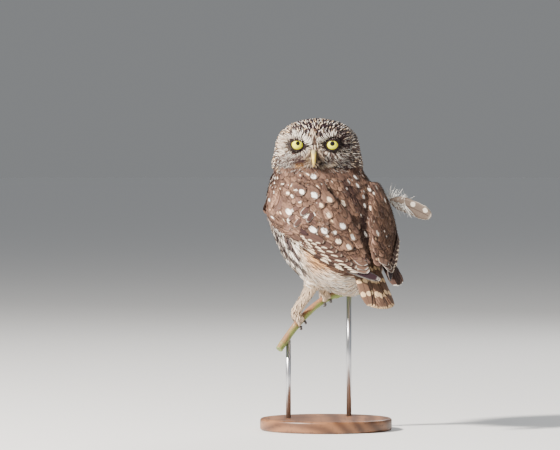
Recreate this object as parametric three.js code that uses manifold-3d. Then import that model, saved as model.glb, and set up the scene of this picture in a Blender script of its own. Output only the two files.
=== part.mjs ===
// A little owl (Athene noctua) perched on a short cut stem, which two rods hold over a round base.
// Millimetres, +Z up. The origin is the centre of the base's underside.
// The bird stands with its back to -Y, turned a little to -X, and its head is turned right round,
// so that the face looks along -Y.

import * as THREE from 'three';
import { mergeVertices } from 'three/addons/utils/BufferGeometryUtils.js';
import Module from 'manifold-3d';

const wasm = await Module();
wasm.setup();

// The bird's own upright plane: s runs along its heading, z is up and q is its right.
const HEADING_DEG = 36;
const PLANE_X = 3;
const PLANE_Y = 0;

// Gaps between neighbouring solids
const GAP = 0.3;
const CUT = 0.34;

// Planes between head, neck and trunk, each through two points of the bird's own plane
const HEAD_CUT = [[-60, 261.5], [60, 260.5]];
const NECK_CUT = [[-60, 250.5], [60, 243]];
const SLAB_SPREAD = 300;
const SLAB_TALL = 400;

// Head
const HEAD_CENTRE = [-8.5, 16.5];
const HEAD_TURN_DEG = -5;
const CROWN_Z = 313;
const EYE_RADIUS = 8.2;
const EYE_SPACING = 35.5;
const EYE_Z = 285;
const EYE_MIDDLE_X = -10.9;
const EYE_FRONT_Y = -17.2;
const BEAK_X = -12.4;
const BEAK_TOP_Z = 277;
const BEAK_TIP_Z = 262.9;
const UPPER_BEAK_RADIUS = 3.5;
const LOWER_BEAK_RADIUS = 2.2;
const EYE_STAGGER = 1.2;
const HOLLOW_DEPTH = 3.6;
const BROW_RISE = 2.4;
const CHEEK_RISE = 1.6;
const BRIDGE_RISE = 4.2;

// Wings, tail and the loose feather
const WING_THICKNESS = 4.6;
const TAIL_ROOT = [-52, 175];
const TAIL_TIP = [-91, 123.5];
const TAIL_WIDTH = 37;
const TAIL_THICKNESS = 3.4;
const LOOSE_ROOT = [65.5, 16, 229];
const LOOSE_TIP = [105.6, 19, 212.4];
const TAIL_CROWN = 2.4;
const LOOSE_WIDTH = 15;
const LOOSE_THICKNESS = 1.4;
const SPLAYED_ROOT = [-63, 163, 31];
const SPLAYED_TIP = [-86, 145.5, 27.5];
const SPLAYED_WIDTH = 17;
const SPLAYED_THICKNESS = 2.2;
const WING_THINNING = 0.45;

// Legs and feet
const TARSUS_RADIUS = 7;
const TOE_RADIUS = 2.3;
const CLAW_RADIUS = 1.25;
const FOOT_PAD_RADIUS = 4.6;
const FOOT_PAD_RISE = 3.9;
const ANKLE_RISE = 6.2;

// Perch and stand
const PERCH_RADIUS = 3.6;
const PERCH_START = 1.05;
const PERCH_TAPER = 0.16;
const ROD_SHARES = { front: 0.16, back: 0.9 };
const ROD_SIDES = 16;
const BASE_SIDES = 44;
const BASE_RADIUS = 66;
const BASE_HEIGHT = 12;
const BASE_EDGE = 2.5;
const ROD_RADIUS = 2.5;

const heading = THREE.MathUtils.degToRad(HEADING_DEG);
const AHEAD = new THREE.Vector3(-Math.sin(heading), Math.cos(heading), 0);
const RIGHT = new THREE.Vector3(Math.cos(heading), Math.sin(heading), 0);
const UP = new THREE.Vector3(0, 0, 1);

const vec = (x, y, z) => new THREE.Vector3(x, y, z);

// A point of the bird's own plane, q to its right.
function place(s, z, q = 0) {
  return vec(PLANE_X, PLANE_Y, z).addScaledVector(AHEAD, s).addScaledVector(RIGHT, q);
}

// A smooth value through evenly spaced stations, at t stations from the first.
function through(values, t) {
  const last = values.length - 1;
  const i = Math.min(Math.max(Math.floor(t), 0), last - 1);
  const f = t - i;
  const at = (k) => values[Math.min(Math.max(k, 0), last)];
  const [a, b, c, d] = [at(i - 1), at(i), at(i + 1), at(i + 2)];
  return b + 0.5 * f * (c - a + f * (2 * a - 5 * b + 4 * c - d + f * (3 * (b - c) + d - a)));
}

const throughPairs = (pairs, t) => [0, 1].map((k) => through(pairs.map((p) => p[k]), t));
const blend = (low, high, x) => THREE.MathUtils.smoothstep(x, low, high);
const power = (x, n) => Math.sign(x) * Math.abs(x) ** n;

// A closed solid from rings that all hold the same number of points. A round end is closed to its
// middle; the end of a flat or curved plate is closed straight across, from one face to the other.
function loft(rings, plate = false) {
  const count = rings[0].length;
  const points = rings.flat();
  const faces = [];
  for (let i = 0; i + 1 < rings.length; i += 1) {
    for (let j = 0; j < count; j += 1) {
      const a = i * count + j;
      const b = i * count + ((j + 1) % count);
      faces.push(a, b, b + count, a, b + count, a + count);
    }
  }
  for (const [ring, start] of [[0, true], [rings.length - 1, false]]) {
    const first = ring * count;
    const end = [];
    if (plate) {
      for (let j = 0; j + 1 < count / 2; j += 1) {
        const [a, b, c, d] = [j, j + 1, count - 2 - j, count - 1 - j].map((n) => first + n);
        end.push([a, b, c], [a, c, d]);
      }
    } else {
      const middle = rings[ring].reduce((sum, p) => sum.add(p), vec(0, 0, 0)).divideScalar(count);
      const tip = points.push(middle) - 1;
      for (let j = 0; j < count; j += 1) {
        end.push([tip, first + j, first + ((j + 1) % count)]);
      }
    }
    end.forEach(([a, b, c]) => faces.push(...(start ? [a, c, b] : [a, b, c])));
  }
  return solidOf(points, faces);
}

// A manifold solid from points and faces, turned so that its faces point out.
function solidOf(points, faces) {
  let volume = 0;
  for (let k = 0; k < faces.length; k += 3) {
    const [a, b, c] = [0, 1, 2].map((n) => points[faces[k + n]]);
    volume += a.dot(b.clone().cross(c));
  }
  const turned = volume < 0 ? faces.slice().reverse() : faces;
  const geometry = new THREE.BufferGeometry();
  geometry.setAttribute('position', new THREE.Float32BufferAttribute(points.flatMap((p) => p.toArray()), 3));
  geometry.setIndex(turned);
  return solidFrom(geometry);
}

function solidFrom(geometry) {
  const bare = geometry.clone();
  bare.deleteAttribute('normal');
  bare.deleteAttribute('uv');
  const merged = mergeVertices(bare, 1e-4);
  return new wasm.Manifold(new wasm.Mesh({
    numProp: 3,
    vertProperties: new Float32Array(merged.getAttribute('position').array),
    triVerts: new Uint32Array(merged.getIndex().array),
  }));
}

// A round tube along a smooth line, its radius a function of the share of the way.
function tube(line, radiusAt, steps, sides, flatten = 1) {
  const frames = line.computeFrenetFrames(steps, false);
  const rings = [];
  for (let i = 0; i <= steps; i += 1) {
    const centre = line.getPointAt(i / steps);
    const radius = radiusAt(i / steps);
    const ring = [];
    for (let j = 0; j < sides; j += 1) {
      const turn = (2 * Math.PI * j) / sides;
      ring.push(centre.clone()
        .addScaledVector(frames.normals[i], radius * Math.cos(turn))
        .addScaledVector(frames.binormals[i], radius * flatten * Math.sin(turn)));
    }
    rings.push(ring);
  }
  return loft(rings);
}

const curve = (points) => new THREE.CatmullRomCurve3(points);

// A broad plate on a plane through two points of the bird's own plane; raised, it lies above it.
function slab([[sLow, zLow], [sHigh, zHigh]], thickness, raised = 0) {
  const from = place(sLow, zLow + raised);
  const to = place(sHigh, zHigh + raised);
  const box = new THREE.BoxGeometry(SLAB_SPREAD, SLAB_SPREAD, thickness);
  const tilt = Math.atan2(zHigh - zLow, sHigh - sLow);
  const turn = new THREE.Matrix4().makeBasis(
    RIGHT.clone(),
    AHEAD.clone().multiplyScalar(Math.cos(tilt)).addScaledVector(UP, Math.sin(tilt)),
    UP.clone().multiplyScalar(Math.cos(tilt)).addScaledVector(AHEAD, -Math.sin(tilt)),
  );
  const middle = from.add(to).multiplyScalar(0.5);
  box.applyMatrix4(turn.setPosition(middle));
  return solidFrom(box);
}

// The largest body of a cut result
function mainBody(solid) {
  return solid.decompose().reduce((best, piece) => (piece.volume() > best.volume() ? piece : best));
}

// Trunk: the side profile as back and belly points, from inside the head to the tail's root
const BACK = [
  [-6, 274], [-19, 262], [-34, 246], [-46, 226], [-54, 203], [-60, 184], [-63, 170], [-61, 158], [-54, 147],
];
const BELLY = [
  [46, 274], [57, 259], [66, 238], [69, 213], [62, 186], [46, 163], [22, 148], [-8, 139], [-36, 133],
];
const WIDE_ABOVE = [37, 47.5, 55.5, 58, 56.5, 51, 42, 31, 15];
const WIDE_BELOW = [37, 47, 53.5, 54, 46.5, 41, 35, 27, 13];
const TRUNK_SIDES = 26;
const TRUNK_RINGS = 16;

function trunkPoint(t, turn) {
  const back = throughPairs(BACK, t);
  const belly = throughPairs(BELLY, t);
  const up = power(Math.cos(turn), 0.92);
  const share = (1 - up) / 2;
  const above = blend(-0.45, 0.3, Math.cos(turn));
  const wide = THREE.MathUtils.lerp(through(WIDE_BELOW, t), through(WIDE_ABOVE, t), above);
  return place(
    back[0] + (belly[0] - back[0]) * share,
    back[1] + (belly[1] - back[1]) * share,
    wide * power(Math.sin(turn), 0.9),
  );
}

function trunkBlank() {
  const rings = [];
  for (let i = 0; i <= TRUNK_RINGS; i += 1) {
    const t = ((BACK.length - 1) * i) / TRUNK_RINGS;
    rings.push(Array.from({ length: TRUNK_SIDES }, (_, j) => trunkPoint(t, (2 * Math.PI * j) / TRUNK_SIDES)));
  }
  return loft(rings);
}

// Wings: an outer surface like the trunk's own, wider, running on over the tail to the tips
const ROOF = [[-34, 249], [-47, 227], [-55.5, 204], [-62, 186], [-70, 172.5], [-80, 163], [-92, 155.5]];
const FLOOR = [[66, 240], [69, 214], [62, 187], [46, 164], [12, 140], [-26, 126], [-58, 123]];
const SPAN = [56, 62.5, 62, 56, 45, 30, 14];
const TOP_EDGE_DEG = [30, 14, 5, 3, 3, 3, 3];
const LOW_EDGE_DEG = [98, 103, 87, 66, 55, 46, 36];
const FLARE = [4, 4.5, 6.5, 8, 6, 2, 0];
const WING_STEPS = 14;
const WING_ACROSS = 7;
const WING_ROOM_MARGIN = 0.02;
const WING_ROOM_HEIGHT = 12;

// A point of the wing's surface; depth is measured inward from the coat's outer face.
function wingPoint(side, t, turn, depth, flare) {
  const roof = throughPairs(ROOF, t);
  const floor = throughPairs(FLOOR, t);
  const reach = Math.hypot(floor[0] - roof[0], floor[1] - roof[1]) / 2;
  const middle = [(roof[0] + floor[0]) / 2, (roof[1] + floor[1]) / 2];
  const up = power(Math.cos(turn), 0.8) * (1 - depth / reach);
  return place(
    middle[0] + (roof[0] - middle[0]) * up,
    middle[1] + (roof[1] - middle[1]) * up,
    side * (through(SPAN, t) + flare * through(FLARE, t) - depth) * power(Math.sin(turn), 0.8),
  );
}

// The wing's own shell, or, grown, the room that it needs in its neighbours.
function wingBlank(side, flare, grow = 0) {
  const last = ROOF.length - 1;
  const shares = Array.from({ length: WING_STEPS + 1 }, (_, i) => i / WING_STEPS);
  const across = Array.from({ length: WING_ACROSS }, (_, j) => j / (WING_ACROSS - 1));
  if (grow > 0) {
    shares.unshift(-WING_ROOM_MARGIN);
    shares.push(1 + WING_ROOM_MARGIN);
    across.unshift(-WING_ROOM_MARGIN);
    across.push(1 + WING_ROOM_MARGIN);
  }
  const outer = grow > 0 ? -WING_ROOM_HEIGHT : 0;
  return loft(shares.map((share) => {
    const t = last * share;
    const inner = WING_THICKNESS * (1 - WING_THINNING * share) + grow;
    const top = through(TOP_EDGE_DEG, t);
    const low = through(LOW_EDGE_DEG, t);
    const turns = across.map((x) => THREE.MathUtils.degToRad(top + (low - top) * x));
    const face = turns.map((turn) => wingPoint(side, t, turn, outer, flare));
    const back = turns.map((turn) => wingPoint(side, t, turn, inner, flare));
    return face.concat(back.reverse());
  }), true);
}

// A flat feathered blade: a plate from root to tip, widest past its middle, with a rounded end
function blade(root, tip, across, width, thickness, crown = 0, roundFrom = 0.7, steps = 8, sides = 6) {
  const line = tip.clone().sub(root);
  const lift = line.clone().normalize().cross(across).normalize();
  const offsets = Array.from({ length: sides + 1 }, (_, j) => -1 + (2 * j) / sides);
  return loft(Array.from({ length: steps + 1 }, (_, i) => {
    const share = i / steps;
    const end = Math.sqrt(Math.max(1 - (Math.max(share - roundFrom, 0) / (1 - roundFrom)) ** 2, 0.03));
    const half = (width / 2) * (0.62 + 0.38 * blend(0, 0.6, share)) * end;
    const centre = root.clone().addScaledVector(line, share);
    const row = (rise) => offsets.map((x) => centre.clone()
      .addScaledVector(across, x * half)
      .addScaledVector(lift, crown * (1 - x * x) + rise));
    return row(thickness / 2).concat(row(-thickness / 2).reverse());
  }), true);
}

// The right wing's longest primaries, which have dropped clear of the folded wing
const splayedPrimaries = () => blade(
  place(...SPLAYED_ROOT),
  place(...SPLAYED_TIP),
  RIGHT.clone().multiplyScalar(0.93).addScaledVector(UP, 0.36),
  SPLAYED_WIDTH,
  SPLAYED_THICKNESS,
  0.8,
  0.7,
);

// Head: rings from the throat to the crown, with half-width, front and back reach
const HEAD_LEVELS = [250, 256, 263, 270, 277, 284, 291, 297.5, 303, 307.5, 310.8, CROWN_Z];
const HEAD_WIDE = [36, 43, 47.3, 46.6, 44.6, 43.6, 42, 38.8, 33.4, 26, 17, 2];
const HEAD_FRONT = [24, 29, 32.5, 35, 36.3, 36.5, 35.6, 33, 28.5, 22, 14, 2];
const HEAD_BACK = [26, 31, 34.5, 37, 38.2, 38.4, 37.6, 35, 30.5, 24, 16, 2];
const HEAD_SIDES = 28;
const HEAD_RINGS = 18;

const headTurn = THREE.MathUtils.degToRad(HEAD_TURN_DEG);
const FACE_RIGHT = vec(Math.cos(headTurn), Math.sin(headTurn), 0);
const FACE_AHEAD = vec(Math.sin(headTurn), -Math.cos(headTurn), 0);

const hump = (x, z, wide, high) => Math.exp(-((x / wide) ** 2) - (z / high) ** 2);

// How far the face stands out at x to its right and height z: eye hollows, brows and the beak's base
function faceRelief(x, z) {
  const level = z - EYE_Z;
  let out = 0;
  for (const side of [-1, 1]) {
    const across = side * (x + 2.2) - EYE_SPACING / 2;
    out -= HOLLOW_DEPTH * hump(across, level, 9.5, 8.5);
    out += BROW_RISE * hump(across + 3 - 0.5 * (level - 10), level - 10.5, 12, 4.2);
    out += CHEEK_RISE * hump(across - 4, level + 14, 14, 5);
  }
  return out + BRIDGE_RISE * hump(x + 4, level + 12, 5.2, 13);
}

function headBlank() {
  const last = HEAD_LEVELS.length - 1;
  const rings = [];
  for (let i = 0; i <= HEAD_RINGS; i += 1) {
    const t = last * (i / HEAD_RINGS);
    const z = through(HEAD_LEVELS, t);
    const ring = [];
    for (let j = 0; j < HEAD_SIDES; j += 1) {
      const turn = (2 * Math.PI * j) / HEAD_SIDES;
      const ahead = Math.cos(turn);
      const x = through(HEAD_WIDE, t) * power(Math.sin(turn), 0.94);
      const reach = through(ahead > 0 ? HEAD_FRONT : HEAD_BACK, t);
      const relief = faceRelief(x, z) * blend(0.15, 0.6, ahead);
      const y = reach * power(ahead, 0.86) + relief;
      ring.push(vec(HEAD_CENTRE[0], HEAD_CENTRE[1], z).addScaledVector(FACE_RIGHT, x).addScaledVector(FACE_AHEAD, y));
    }
    rings.push(ring);
  }
  return loft(rings);
}

function ball(centre, radius, across, up) {
  const sphere = new THREE.SphereGeometry(radius, across, up);
  sphere.rotateX(Math.PI / 2);
  sphere.translate(centre.x, centre.y, centre.z);
  return solidFrom(sphere);
}

const eyeBall = (centre, grow = 0) => ball(centre, EYE_RADIUS + grow, 14, 9);

const eyeCentre = (side) => vec(
  EYE_MIDDLE_X + (side * EYE_SPACING) / 2,
  EYE_FRONT_Y + EYE_RADIUS + (side > 0 ? -EYE_STAGGER : EYE_STAGGER),
  EYE_Z,
);

// Beak: a hooked upper half and a small lower half under it
function beakLine(points) {
  return curve(points.map(([y, z]) => vec(BEAK_X, y, z)));
}

function upperBeak(grow = 0) {
  const line = beakLine([
    [-15, BEAK_TOP_Z + 1], [-22.5, BEAK_TOP_Z - 1], [-26.4, 272], [-27.6, 267.5], [-26.2, BEAK_TIP_Z],
  ]);
  return tube(line, (u) => UPPER_BEAK_RADIUS * Math.sqrt(1.02 - u) + 0.1 + grow, 10, 10, 0.86);
}

function lowerBeak(grow = 0) {
  const line = beakLine([[-15, 270.6], [-20, 269.4], [-23.4, 266.4], [-23.9, 264.2]]);
  return tube(line, (u) => LOWER_BEAK_RADIUS * Math.sqrt(1.03 - u) + 0.1 + grow, 6, 8, 0.9);
}

// Perch: a smooth stem that rises to the right and levels out past the right foot
const PERCH_LINE = curve([
  vec(-47, -12, 81), vec(-36, -3, 96.5), vec(-25, 4, 110), vec(-12, 12, 122.5),
  vec(2, 20, 131.5), vec(17, 27, 136), vec(34, 34, 137.5),
]);
const FOOT_SHARES = { left: 0.333, right: 0.665 };

function perchBlank(grow = 0) {
  return tube(PERCH_LINE, (u) => PERCH_RADIUS * (PERCH_START - PERCH_TAPER * u) + grow, 13, 10);
}

// Feet: four toes wrap the stem, two over its front and two over its back, from a pad on top
const TOES = [
  { name: 'front_inner', way: 1, along: 5.2, reach: 104 },
  { name: 'front_middle', way: 1, along: -1.6, reach: 118 },
  { name: 'back_outer', way: -1, along: -6, reach: 100 },
  { name: 'back_hind', way: -1, along: 1.4, reach: 92 },
];

function footFrame(side) {
  const share = FOOT_SHARES[side];
  const centre = PERCH_LINE.getPointAt(share);
  const along = PERCH_LINE.getTangentAt(share);
  const across = vec(-along.y, along.x, 0).normalize();
  const top = along.clone().cross(across).normalize();
  return { centre, along, across, top };
}

function onStem(foot, along, turnDeg, radius) {
  const turn = THREE.MathUtils.degToRad(turnDeg);
  return foot.centre.clone()
    .addScaledVector(foot.along, along)
    .addScaledVector(foot.top, radius * Math.cos(turn))
    .addScaledVector(foot.across, radius * Math.sin(turn));
}

function toeLine(foot, toe) {
  const clear = PERCH_RADIUS * PERCH_START + GAP + TOE_RADIUS;
  const points = [];
  for (const share of [0, 0.3, 0.55, 0.8, 1]) {
    const radius = clear + 1.4 * (1 - share);
    points.push(onStem(foot, toe.along * (0.25 + 0.75 * share), toe.way * toe.reach * share, radius));
  }
  return curve(points);
}

function clawLine(foot, toe) {
  const clear = PERCH_RADIUS * PERCH_START + GAP + CLAW_RADIUS;
  const points = [];
  for (const share of [0, 0.35, 0.7, 1]) {
    const radius = clear + 1.0 * (1 - share) + 1.3 * Math.sin(Math.PI * share);
    points.push(onStem(foot, toe.along * (1 + 0.06 * share), toe.way * (toe.reach + 4 + 60 * share), radius));
  }
  return curve(points);
}

function footBlank(side) {
  const foot = footFrame(side);
  const pad = ball(onStem(foot, 0, 0, PERCH_RADIUS + FOOT_PAD_RISE), FOOT_PAD_RADIUS, 10, 6);
  return TOES.reduce(
    (solid, toe) => solid.add(tube(toeLine(foot, toe), (u) => TOE_RADIUS * (1.08 - 0.16 * u), 6, 7)),
    pad,
  );
}

const clawRadius = (u) => CLAW_RADIUS * Math.sqrt(1.02 - u) + 0.05;
const clawBlank = (side, toe) => tube(clawLine(footFrame(side), toe), clawRadius, 5, 6);

// Legs: feathered down to the toes, fuller where they leave the belly
const LEG_TOPS = { left: vec(-10, -12, 152), right: vec(10, 14, 154) };

function legBlank(side, grow = 0) {
  const foot = footFrame(side);
  const ankle = onStem(foot, 0, 0, PERCH_RADIUS + ANKLE_RISE);
  const top = LEG_TOPS[side];
  const slope = top.clone().sub(ankle).normalize();
  const inside = top.clone().addScaledVector(slope, 10 + grow);
  const knee = ankle.clone().lerp(top, 0.55).addScaledVector(AHEAD, -1.5);
  ankle.addScaledVector(slope, -grow);
  return tube(curve([ankle, knee, top, inside]), (u) => TARSUS_RADIUS * (0.86 + 0.62 * u * u) + grow, 8, 10);
}

function stemRod(share) {
  const top = PERCH_LINE.getPointAt(share);
  const height = top.z - BASE_HEIGHT - GAP;
  const rod = (radius, length) => {
    const cylinder = new THREE.CylinderGeometry(radius, radius, length, ROD_SIDES);
    cylinder.rotateX(Math.PI / 2);
    cylinder.translate(top.x, top.y, BASE_HEIGHT + GAP + length / 2);
    return solidFrom(cylinder);
  };
  return { solid: rod(ROD_RADIUS, height), hole: rod(ROD_RADIUS + GAP, height + GAP) };
}

function standBase() {
  const edge = BASE_EDGE;
  const profile = [[0, 0], [BASE_RADIUS - 1, 0], [BASE_RADIUS, 1], [BASE_RADIUS, BASE_HEIGHT - edge]];
  for (let i = 1; i <= 3; i += 1) {
    const turn = (Math.PI / 2) * (i / 3);
    profile.push([BASE_RADIUS - edge + edge * Math.cos(turn), BASE_HEIGHT - edge + edge * Math.sin(turn)]);
  }
  profile.push([0, BASE_HEIGHT]);
  const lathe = new THREE.LatheGeometry(profile.map(([x, y]) => new THREE.Vector2(x, y)), BASE_SIDES);
  lathe.rotateX(Math.PI / 2);
  return solidFrom(lathe);
}

// The solids, each cut clear of its neighbours
const eyes = { left: eyeCentre(1), right: eyeCentre(-1) };
const head = headBlank();
const torso = trunkBlank();
const whole = head.add(torso);

const headCut = slab(HEAD_CUT, CUT);
const neckCut = slab(NECK_CUT, CUT);
const aboveHeadCut = slab(HEAD_CUT, SLAB_TALL, SLAB_TALL / 2);
const aboveNeckCut = slab(NECK_CUT, SLAB_TALL, SLAB_TALL / 2);

const wings = {
  left: wingBlank(-1, 0),
  right: wingBlank(1, 1),
};
const wingRooms = {
  left: wingBlank(-1, 0, GAP),
  right: wingBlank(1, 1, GAP),
};

const rods = { front: stemRod(ROD_SHARES.front), back: stemRod(ROD_SHARES.back) };
const tailLine = [place(...TAIL_ROOT), place(...TAIL_TIP)];
const tailBlank = (grow) => blade(
  tailLine[0].clone().addScaledVector(AHEAD, grow),
  tailLine[1],
  RIGHT,
  TAIL_WIDTH + 2 * grow,
  TAIL_THICKNESS + 2 * grow,
  TAIL_CROWN,
  0.86,
  9,
);

const solids = new Map();
const headSolid = mainBody(whole.intersect(aboveHeadCut).subtract(headCut));
const eyeRooms = eyeBall(eyes.left, GAP).add(eyeBall(eyes.right, GAP));
const upper = upperBeak();
const beakRoom = upperBeak(GAP);
const lower = lowerBeak().subtract(beakRoom);
const lowerRoom = lowerBeak(GAP);

solids.set('head', mainBody(headSolid.subtract(eyeRooms).subtract(beakRoom).subtract(lowerRoom)));
solids.set('eye_left', eyeBall(eyes.left));
solids.set('eye_right', eyeBall(eyes.right));
solids.set('beak_upper', upper);
solids.set('beak_lower', mainBody(lower));

const belowHead = whole.subtract(aboveHeadCut).subtract(headCut);
const rooms = wingRooms.left.add(wingRooms.right).add(tailBlank(GAP));
solids.set('neck', mainBody(belowHead.intersect(aboveNeckCut).subtract(neckCut).subtract(rooms)));

const legs = { left: legBlank('left'), right: legBlank('right') };
const trunkWhole = belowHead.subtract(aboveNeckCut).subtract(neckCut);
const legRooms = { left: legBlank('left', GAP), right: legBlank('right', GAP) };
const perchRoom = perchBlank(GAP);
solids.set('trunk', mainBody(trunkWhole.subtract(rooms).subtract(legRooms.left).subtract(legRooms.right)));

solids.set('wing_left', wings.left);
solids.set('wing_right', wings.right.add(splayedPrimaries()));
solids.set('tail', mainBody(tailBlank(0).subtract(wingRooms.left).subtract(wingRooms.right)));

for (const side of ['left', 'right']) {
  solids.set(`leg_${side}`, legs[side]);
  solids.set(`foot_${side}`, mainBody(footBlank(side).subtract(legRooms[side]).subtract(perchRoom)));
  for (const toe of TOES) {
    solids.set(`claw_${side}_${toe.name}`, clawBlank(side, toe));
  }
}

const looseAcross = vec(0.32, -0.5, 0.8).normalize();
solids.set('loose_feather', blade(
  vec(...LOOSE_ROOT),
  vec(...LOOSE_TIP),
  looseAcross,
  LOOSE_WIDTH,
  LOOSE_THICKNESS,
  1.2,
  0.6,
));
solids.set('perch', perchBlank().subtract(rods.front.hole).subtract(rods.back.hole));
solids.set('stand_rod_front', rods.front.solid);
solids.set('stand_rod_back', rods.back.solid);
solids.set('stand_base', standBase());

const COLOURS = {
  head: [0x8a7263, 0.9], neck: [0x7a6252, 0.9], trunk: [0xa8917c, 0.9], wing_left: [0x6f5646, 0.85],
  wing_right: [0x6f5646, 0.85], tail: [0x7d604c, 0.85], eye_left: [0xe8e05a, 0.15], eye_right: [0xe8e05a, 0.15],
  beak_upper: [0xd9c887, 0.4], beak_lower: [0xd9c887, 0.4], leg_left: [0xe6dcc6, 0.95],
  leg_right: [0xe6dcc6, 0.95], foot_left: [0xb5a68e, 0.9], foot_right: [0xb5a68e, 0.9],
  loose_feather: [0x9a8676, 0.85], perch: [0x7c6a3d, 0.8], stand_rod_front: [0x9a9a98, 0.35],
  stand_rod_back: [0x9a9a98, 0.35], stand_base: [0x3a2a1e, 0.5],
};
const CLAW_COLOUR = [0x2a2320, 0.4];
const METAL_NODES = new Set(['stand_rod_front', 'stand_rod_back']);

const owl = new THREE.Group();
for (const [name, solid] of solids) {
  const { vertProperties, triVerts } = solid.getMesh();
  const geometry = new THREE.BufferGeometry();
  geometry.setAttribute('position', new THREE.Float32BufferAttribute(vertProperties, 3));
  geometry.setIndex(Array.from(triVerts));
  geometry.computeVertexNormals();
  const [color, roughness] = COLOURS[name] ?? CLAW_COLOUR;
  const metalness = METAL_NODES.has(name) ? 1 : 0;
  const mesh = new THREE.Mesh(geometry, new THREE.MeshStandardMaterial({ color, roughness, metalness }));
  mesh.name = name;
  owl.add(mesh);
}

export default owl;
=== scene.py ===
# %% [markdown]
# # A little owl, feather by feather
# The frame holds the owl's solids: head, neck, trunk, wings, tail, legs and feet, a stem and a stand.
# This lesson turns them into a feathered bird. The flesh becomes one skin, and every feather on it is
# a thin closed vane or tuft that follows the lie of the plumage. Loading the frame comes first.

# %% Load the frame
import math

import bmesh
import bpy
import numpy as np
from mathutils import Matrix, Vector
from mathutils.bvhtree import BVHTree


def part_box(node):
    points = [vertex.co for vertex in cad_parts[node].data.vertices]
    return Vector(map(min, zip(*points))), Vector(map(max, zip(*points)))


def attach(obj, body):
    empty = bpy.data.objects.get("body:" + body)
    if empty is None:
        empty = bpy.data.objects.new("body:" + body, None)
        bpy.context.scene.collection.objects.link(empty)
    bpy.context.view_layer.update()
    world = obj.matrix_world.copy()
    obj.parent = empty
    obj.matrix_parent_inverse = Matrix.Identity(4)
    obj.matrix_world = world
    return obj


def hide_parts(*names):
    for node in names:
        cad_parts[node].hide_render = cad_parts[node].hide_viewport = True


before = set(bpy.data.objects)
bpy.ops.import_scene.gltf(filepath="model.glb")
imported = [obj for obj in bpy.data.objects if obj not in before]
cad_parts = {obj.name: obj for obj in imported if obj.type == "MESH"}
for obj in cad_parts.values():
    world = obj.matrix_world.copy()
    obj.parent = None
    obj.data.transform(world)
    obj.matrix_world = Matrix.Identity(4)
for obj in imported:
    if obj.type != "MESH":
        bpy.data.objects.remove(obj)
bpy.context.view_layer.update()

MM = 0.001
print("solids in the frame:", len(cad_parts))

# %% [markdown]
# ## Sizes and directions
# The bird has an upright plane of its own: s runs along its heading, z is up and q is to its right.
# Most places on the body are easier to say in that plane than in the room's X and Y, so a small
# function turns one into the other. All of these sizes are in millimetres. The camera's place is
# needed early too, because some feathers are placed by where the camera sees them.

# %% The bird's own plane, and places on the head
HEADING = math.radians(36)
PLANE_X = 3.0
AHEAD = np.array([-math.sin(HEADING), math.cos(HEADING), 0.0])
RIGHT = np.array([math.cos(HEADING), math.sin(HEADING), 0.0])
UP = np.array([0.0, 0.0, 1.0])
HEAD_TURN = math.radians(-5)
FACE_AHEAD = np.array([math.sin(HEAD_TURN), -math.cos(HEAD_TURN), 0.0])
FACE_RIGHT = np.array([math.cos(HEAD_TURN), math.sin(HEAD_TURN), 0.0])


def place(s, z, q=0.0):
    """Points of the bird's own plane, q to its right, in millimetres."""
    s, z, q = np.broadcast_arrays(*(np.asarray(v, float) for v in (s, z, q)))
    origin = np.array([PLANE_X, 0.0, 0.0])
    return origin + s[..., None] * AHEAD + q[..., None] * RIGHT + z[..., None] * UP


def node_middle(name):
    low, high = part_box(name)
    return (np.array(low) + np.array(high)) / 2 / MM


PHOTO_WIDTH = 560
PHOTO_MIDDLE = (280 - 326, 430 - 225)
CAMERA_DISTANCE = 4000
CAMERA_TILT = math.radians(1)
SENSOR_WIDTH = 36
VIEWER_HEIGHT = PHOTO_MIDDLE[1] + CAMERA_DISTANCE * math.tan(CAMERA_TILT)
VIEWER = np.array([PHOTO_MIDDLE[0], -CAMERA_DISTANCE, VIEWER_HEIGHT])

EYES = {side: node_middle(f"eye_{side}") for side in ("left", "right")}
HEAD_MIDDLE = np.array([-8.5, 16.5, 284.0])
BILL = np.array([node_middle("beak_upper")[0], -20.0, 279.0])
print("eyes at", {side: centre.round(1).tolist() for side, centre in EYES.items()})


# %% [markdown]
# ## Colours
# The plumage has few colours: browns, cream, white and a little ochre. They are given as screen
# values and turned into the linear numbers that a shader works with. The short functions below do
# most of the later work: an easy step between two values, a soft blob, and a mix of two colours.

# %% Colours of the plumage
def srgb(red, green, blue):
    """A colour from screen values of 0 to 255 as the linear numbers that a shader works with."""
    share = np.array([red, green, blue]) / 255
    return np.where(share <= 0.04045, share / 12.92, ((share + 0.055) / 1.055) ** 2.4)


BROWN = srgb(80, 60, 53)
WARM_BROWN = srgb(112, 86, 70)
DARK_BROWN = srgb(38, 24, 29)
GREY_BROWN = srgb(92, 76, 68)
SOOT = srgb(26, 20, 20)
CREAM = srgb(230, 205, 176)
WHITE = srgb(246, 243, 236)
BUFF = srgb(222, 184, 134)
RUSTY_CREAM = srgb(226, 168, 102)
OCHRE = srgb(150, 108, 62)
ASH = srgb(176, 163, 148)


def smooth(low, high, x):
    """0 below low, 1 above high, and an easy curve between them."""
    share = np.clip((np.asarray(x, float) - low) / (high - low), 0, 1)
    return share * share * (3 - 2 * share)


def blob(*axes):
    """1 at one place, fading round it; each axis is given as values, the place and the reach."""
    total = 0
    for values, at, reach in axes:
        total = total - ((values - at) / reach) ** 2
    return np.exp(total)


def mix(first, second, share):
    share = np.asarray(share, float)[..., None]
    return first * (1 - share) + second * share


def unit(vectors):
    return vectors / np.maximum(np.linalg.norm(vectors, axis=-1, keepdims=True), 1e-9)


def dot(first, second):
    return np.sum(first * second, axis=-1)


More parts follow.
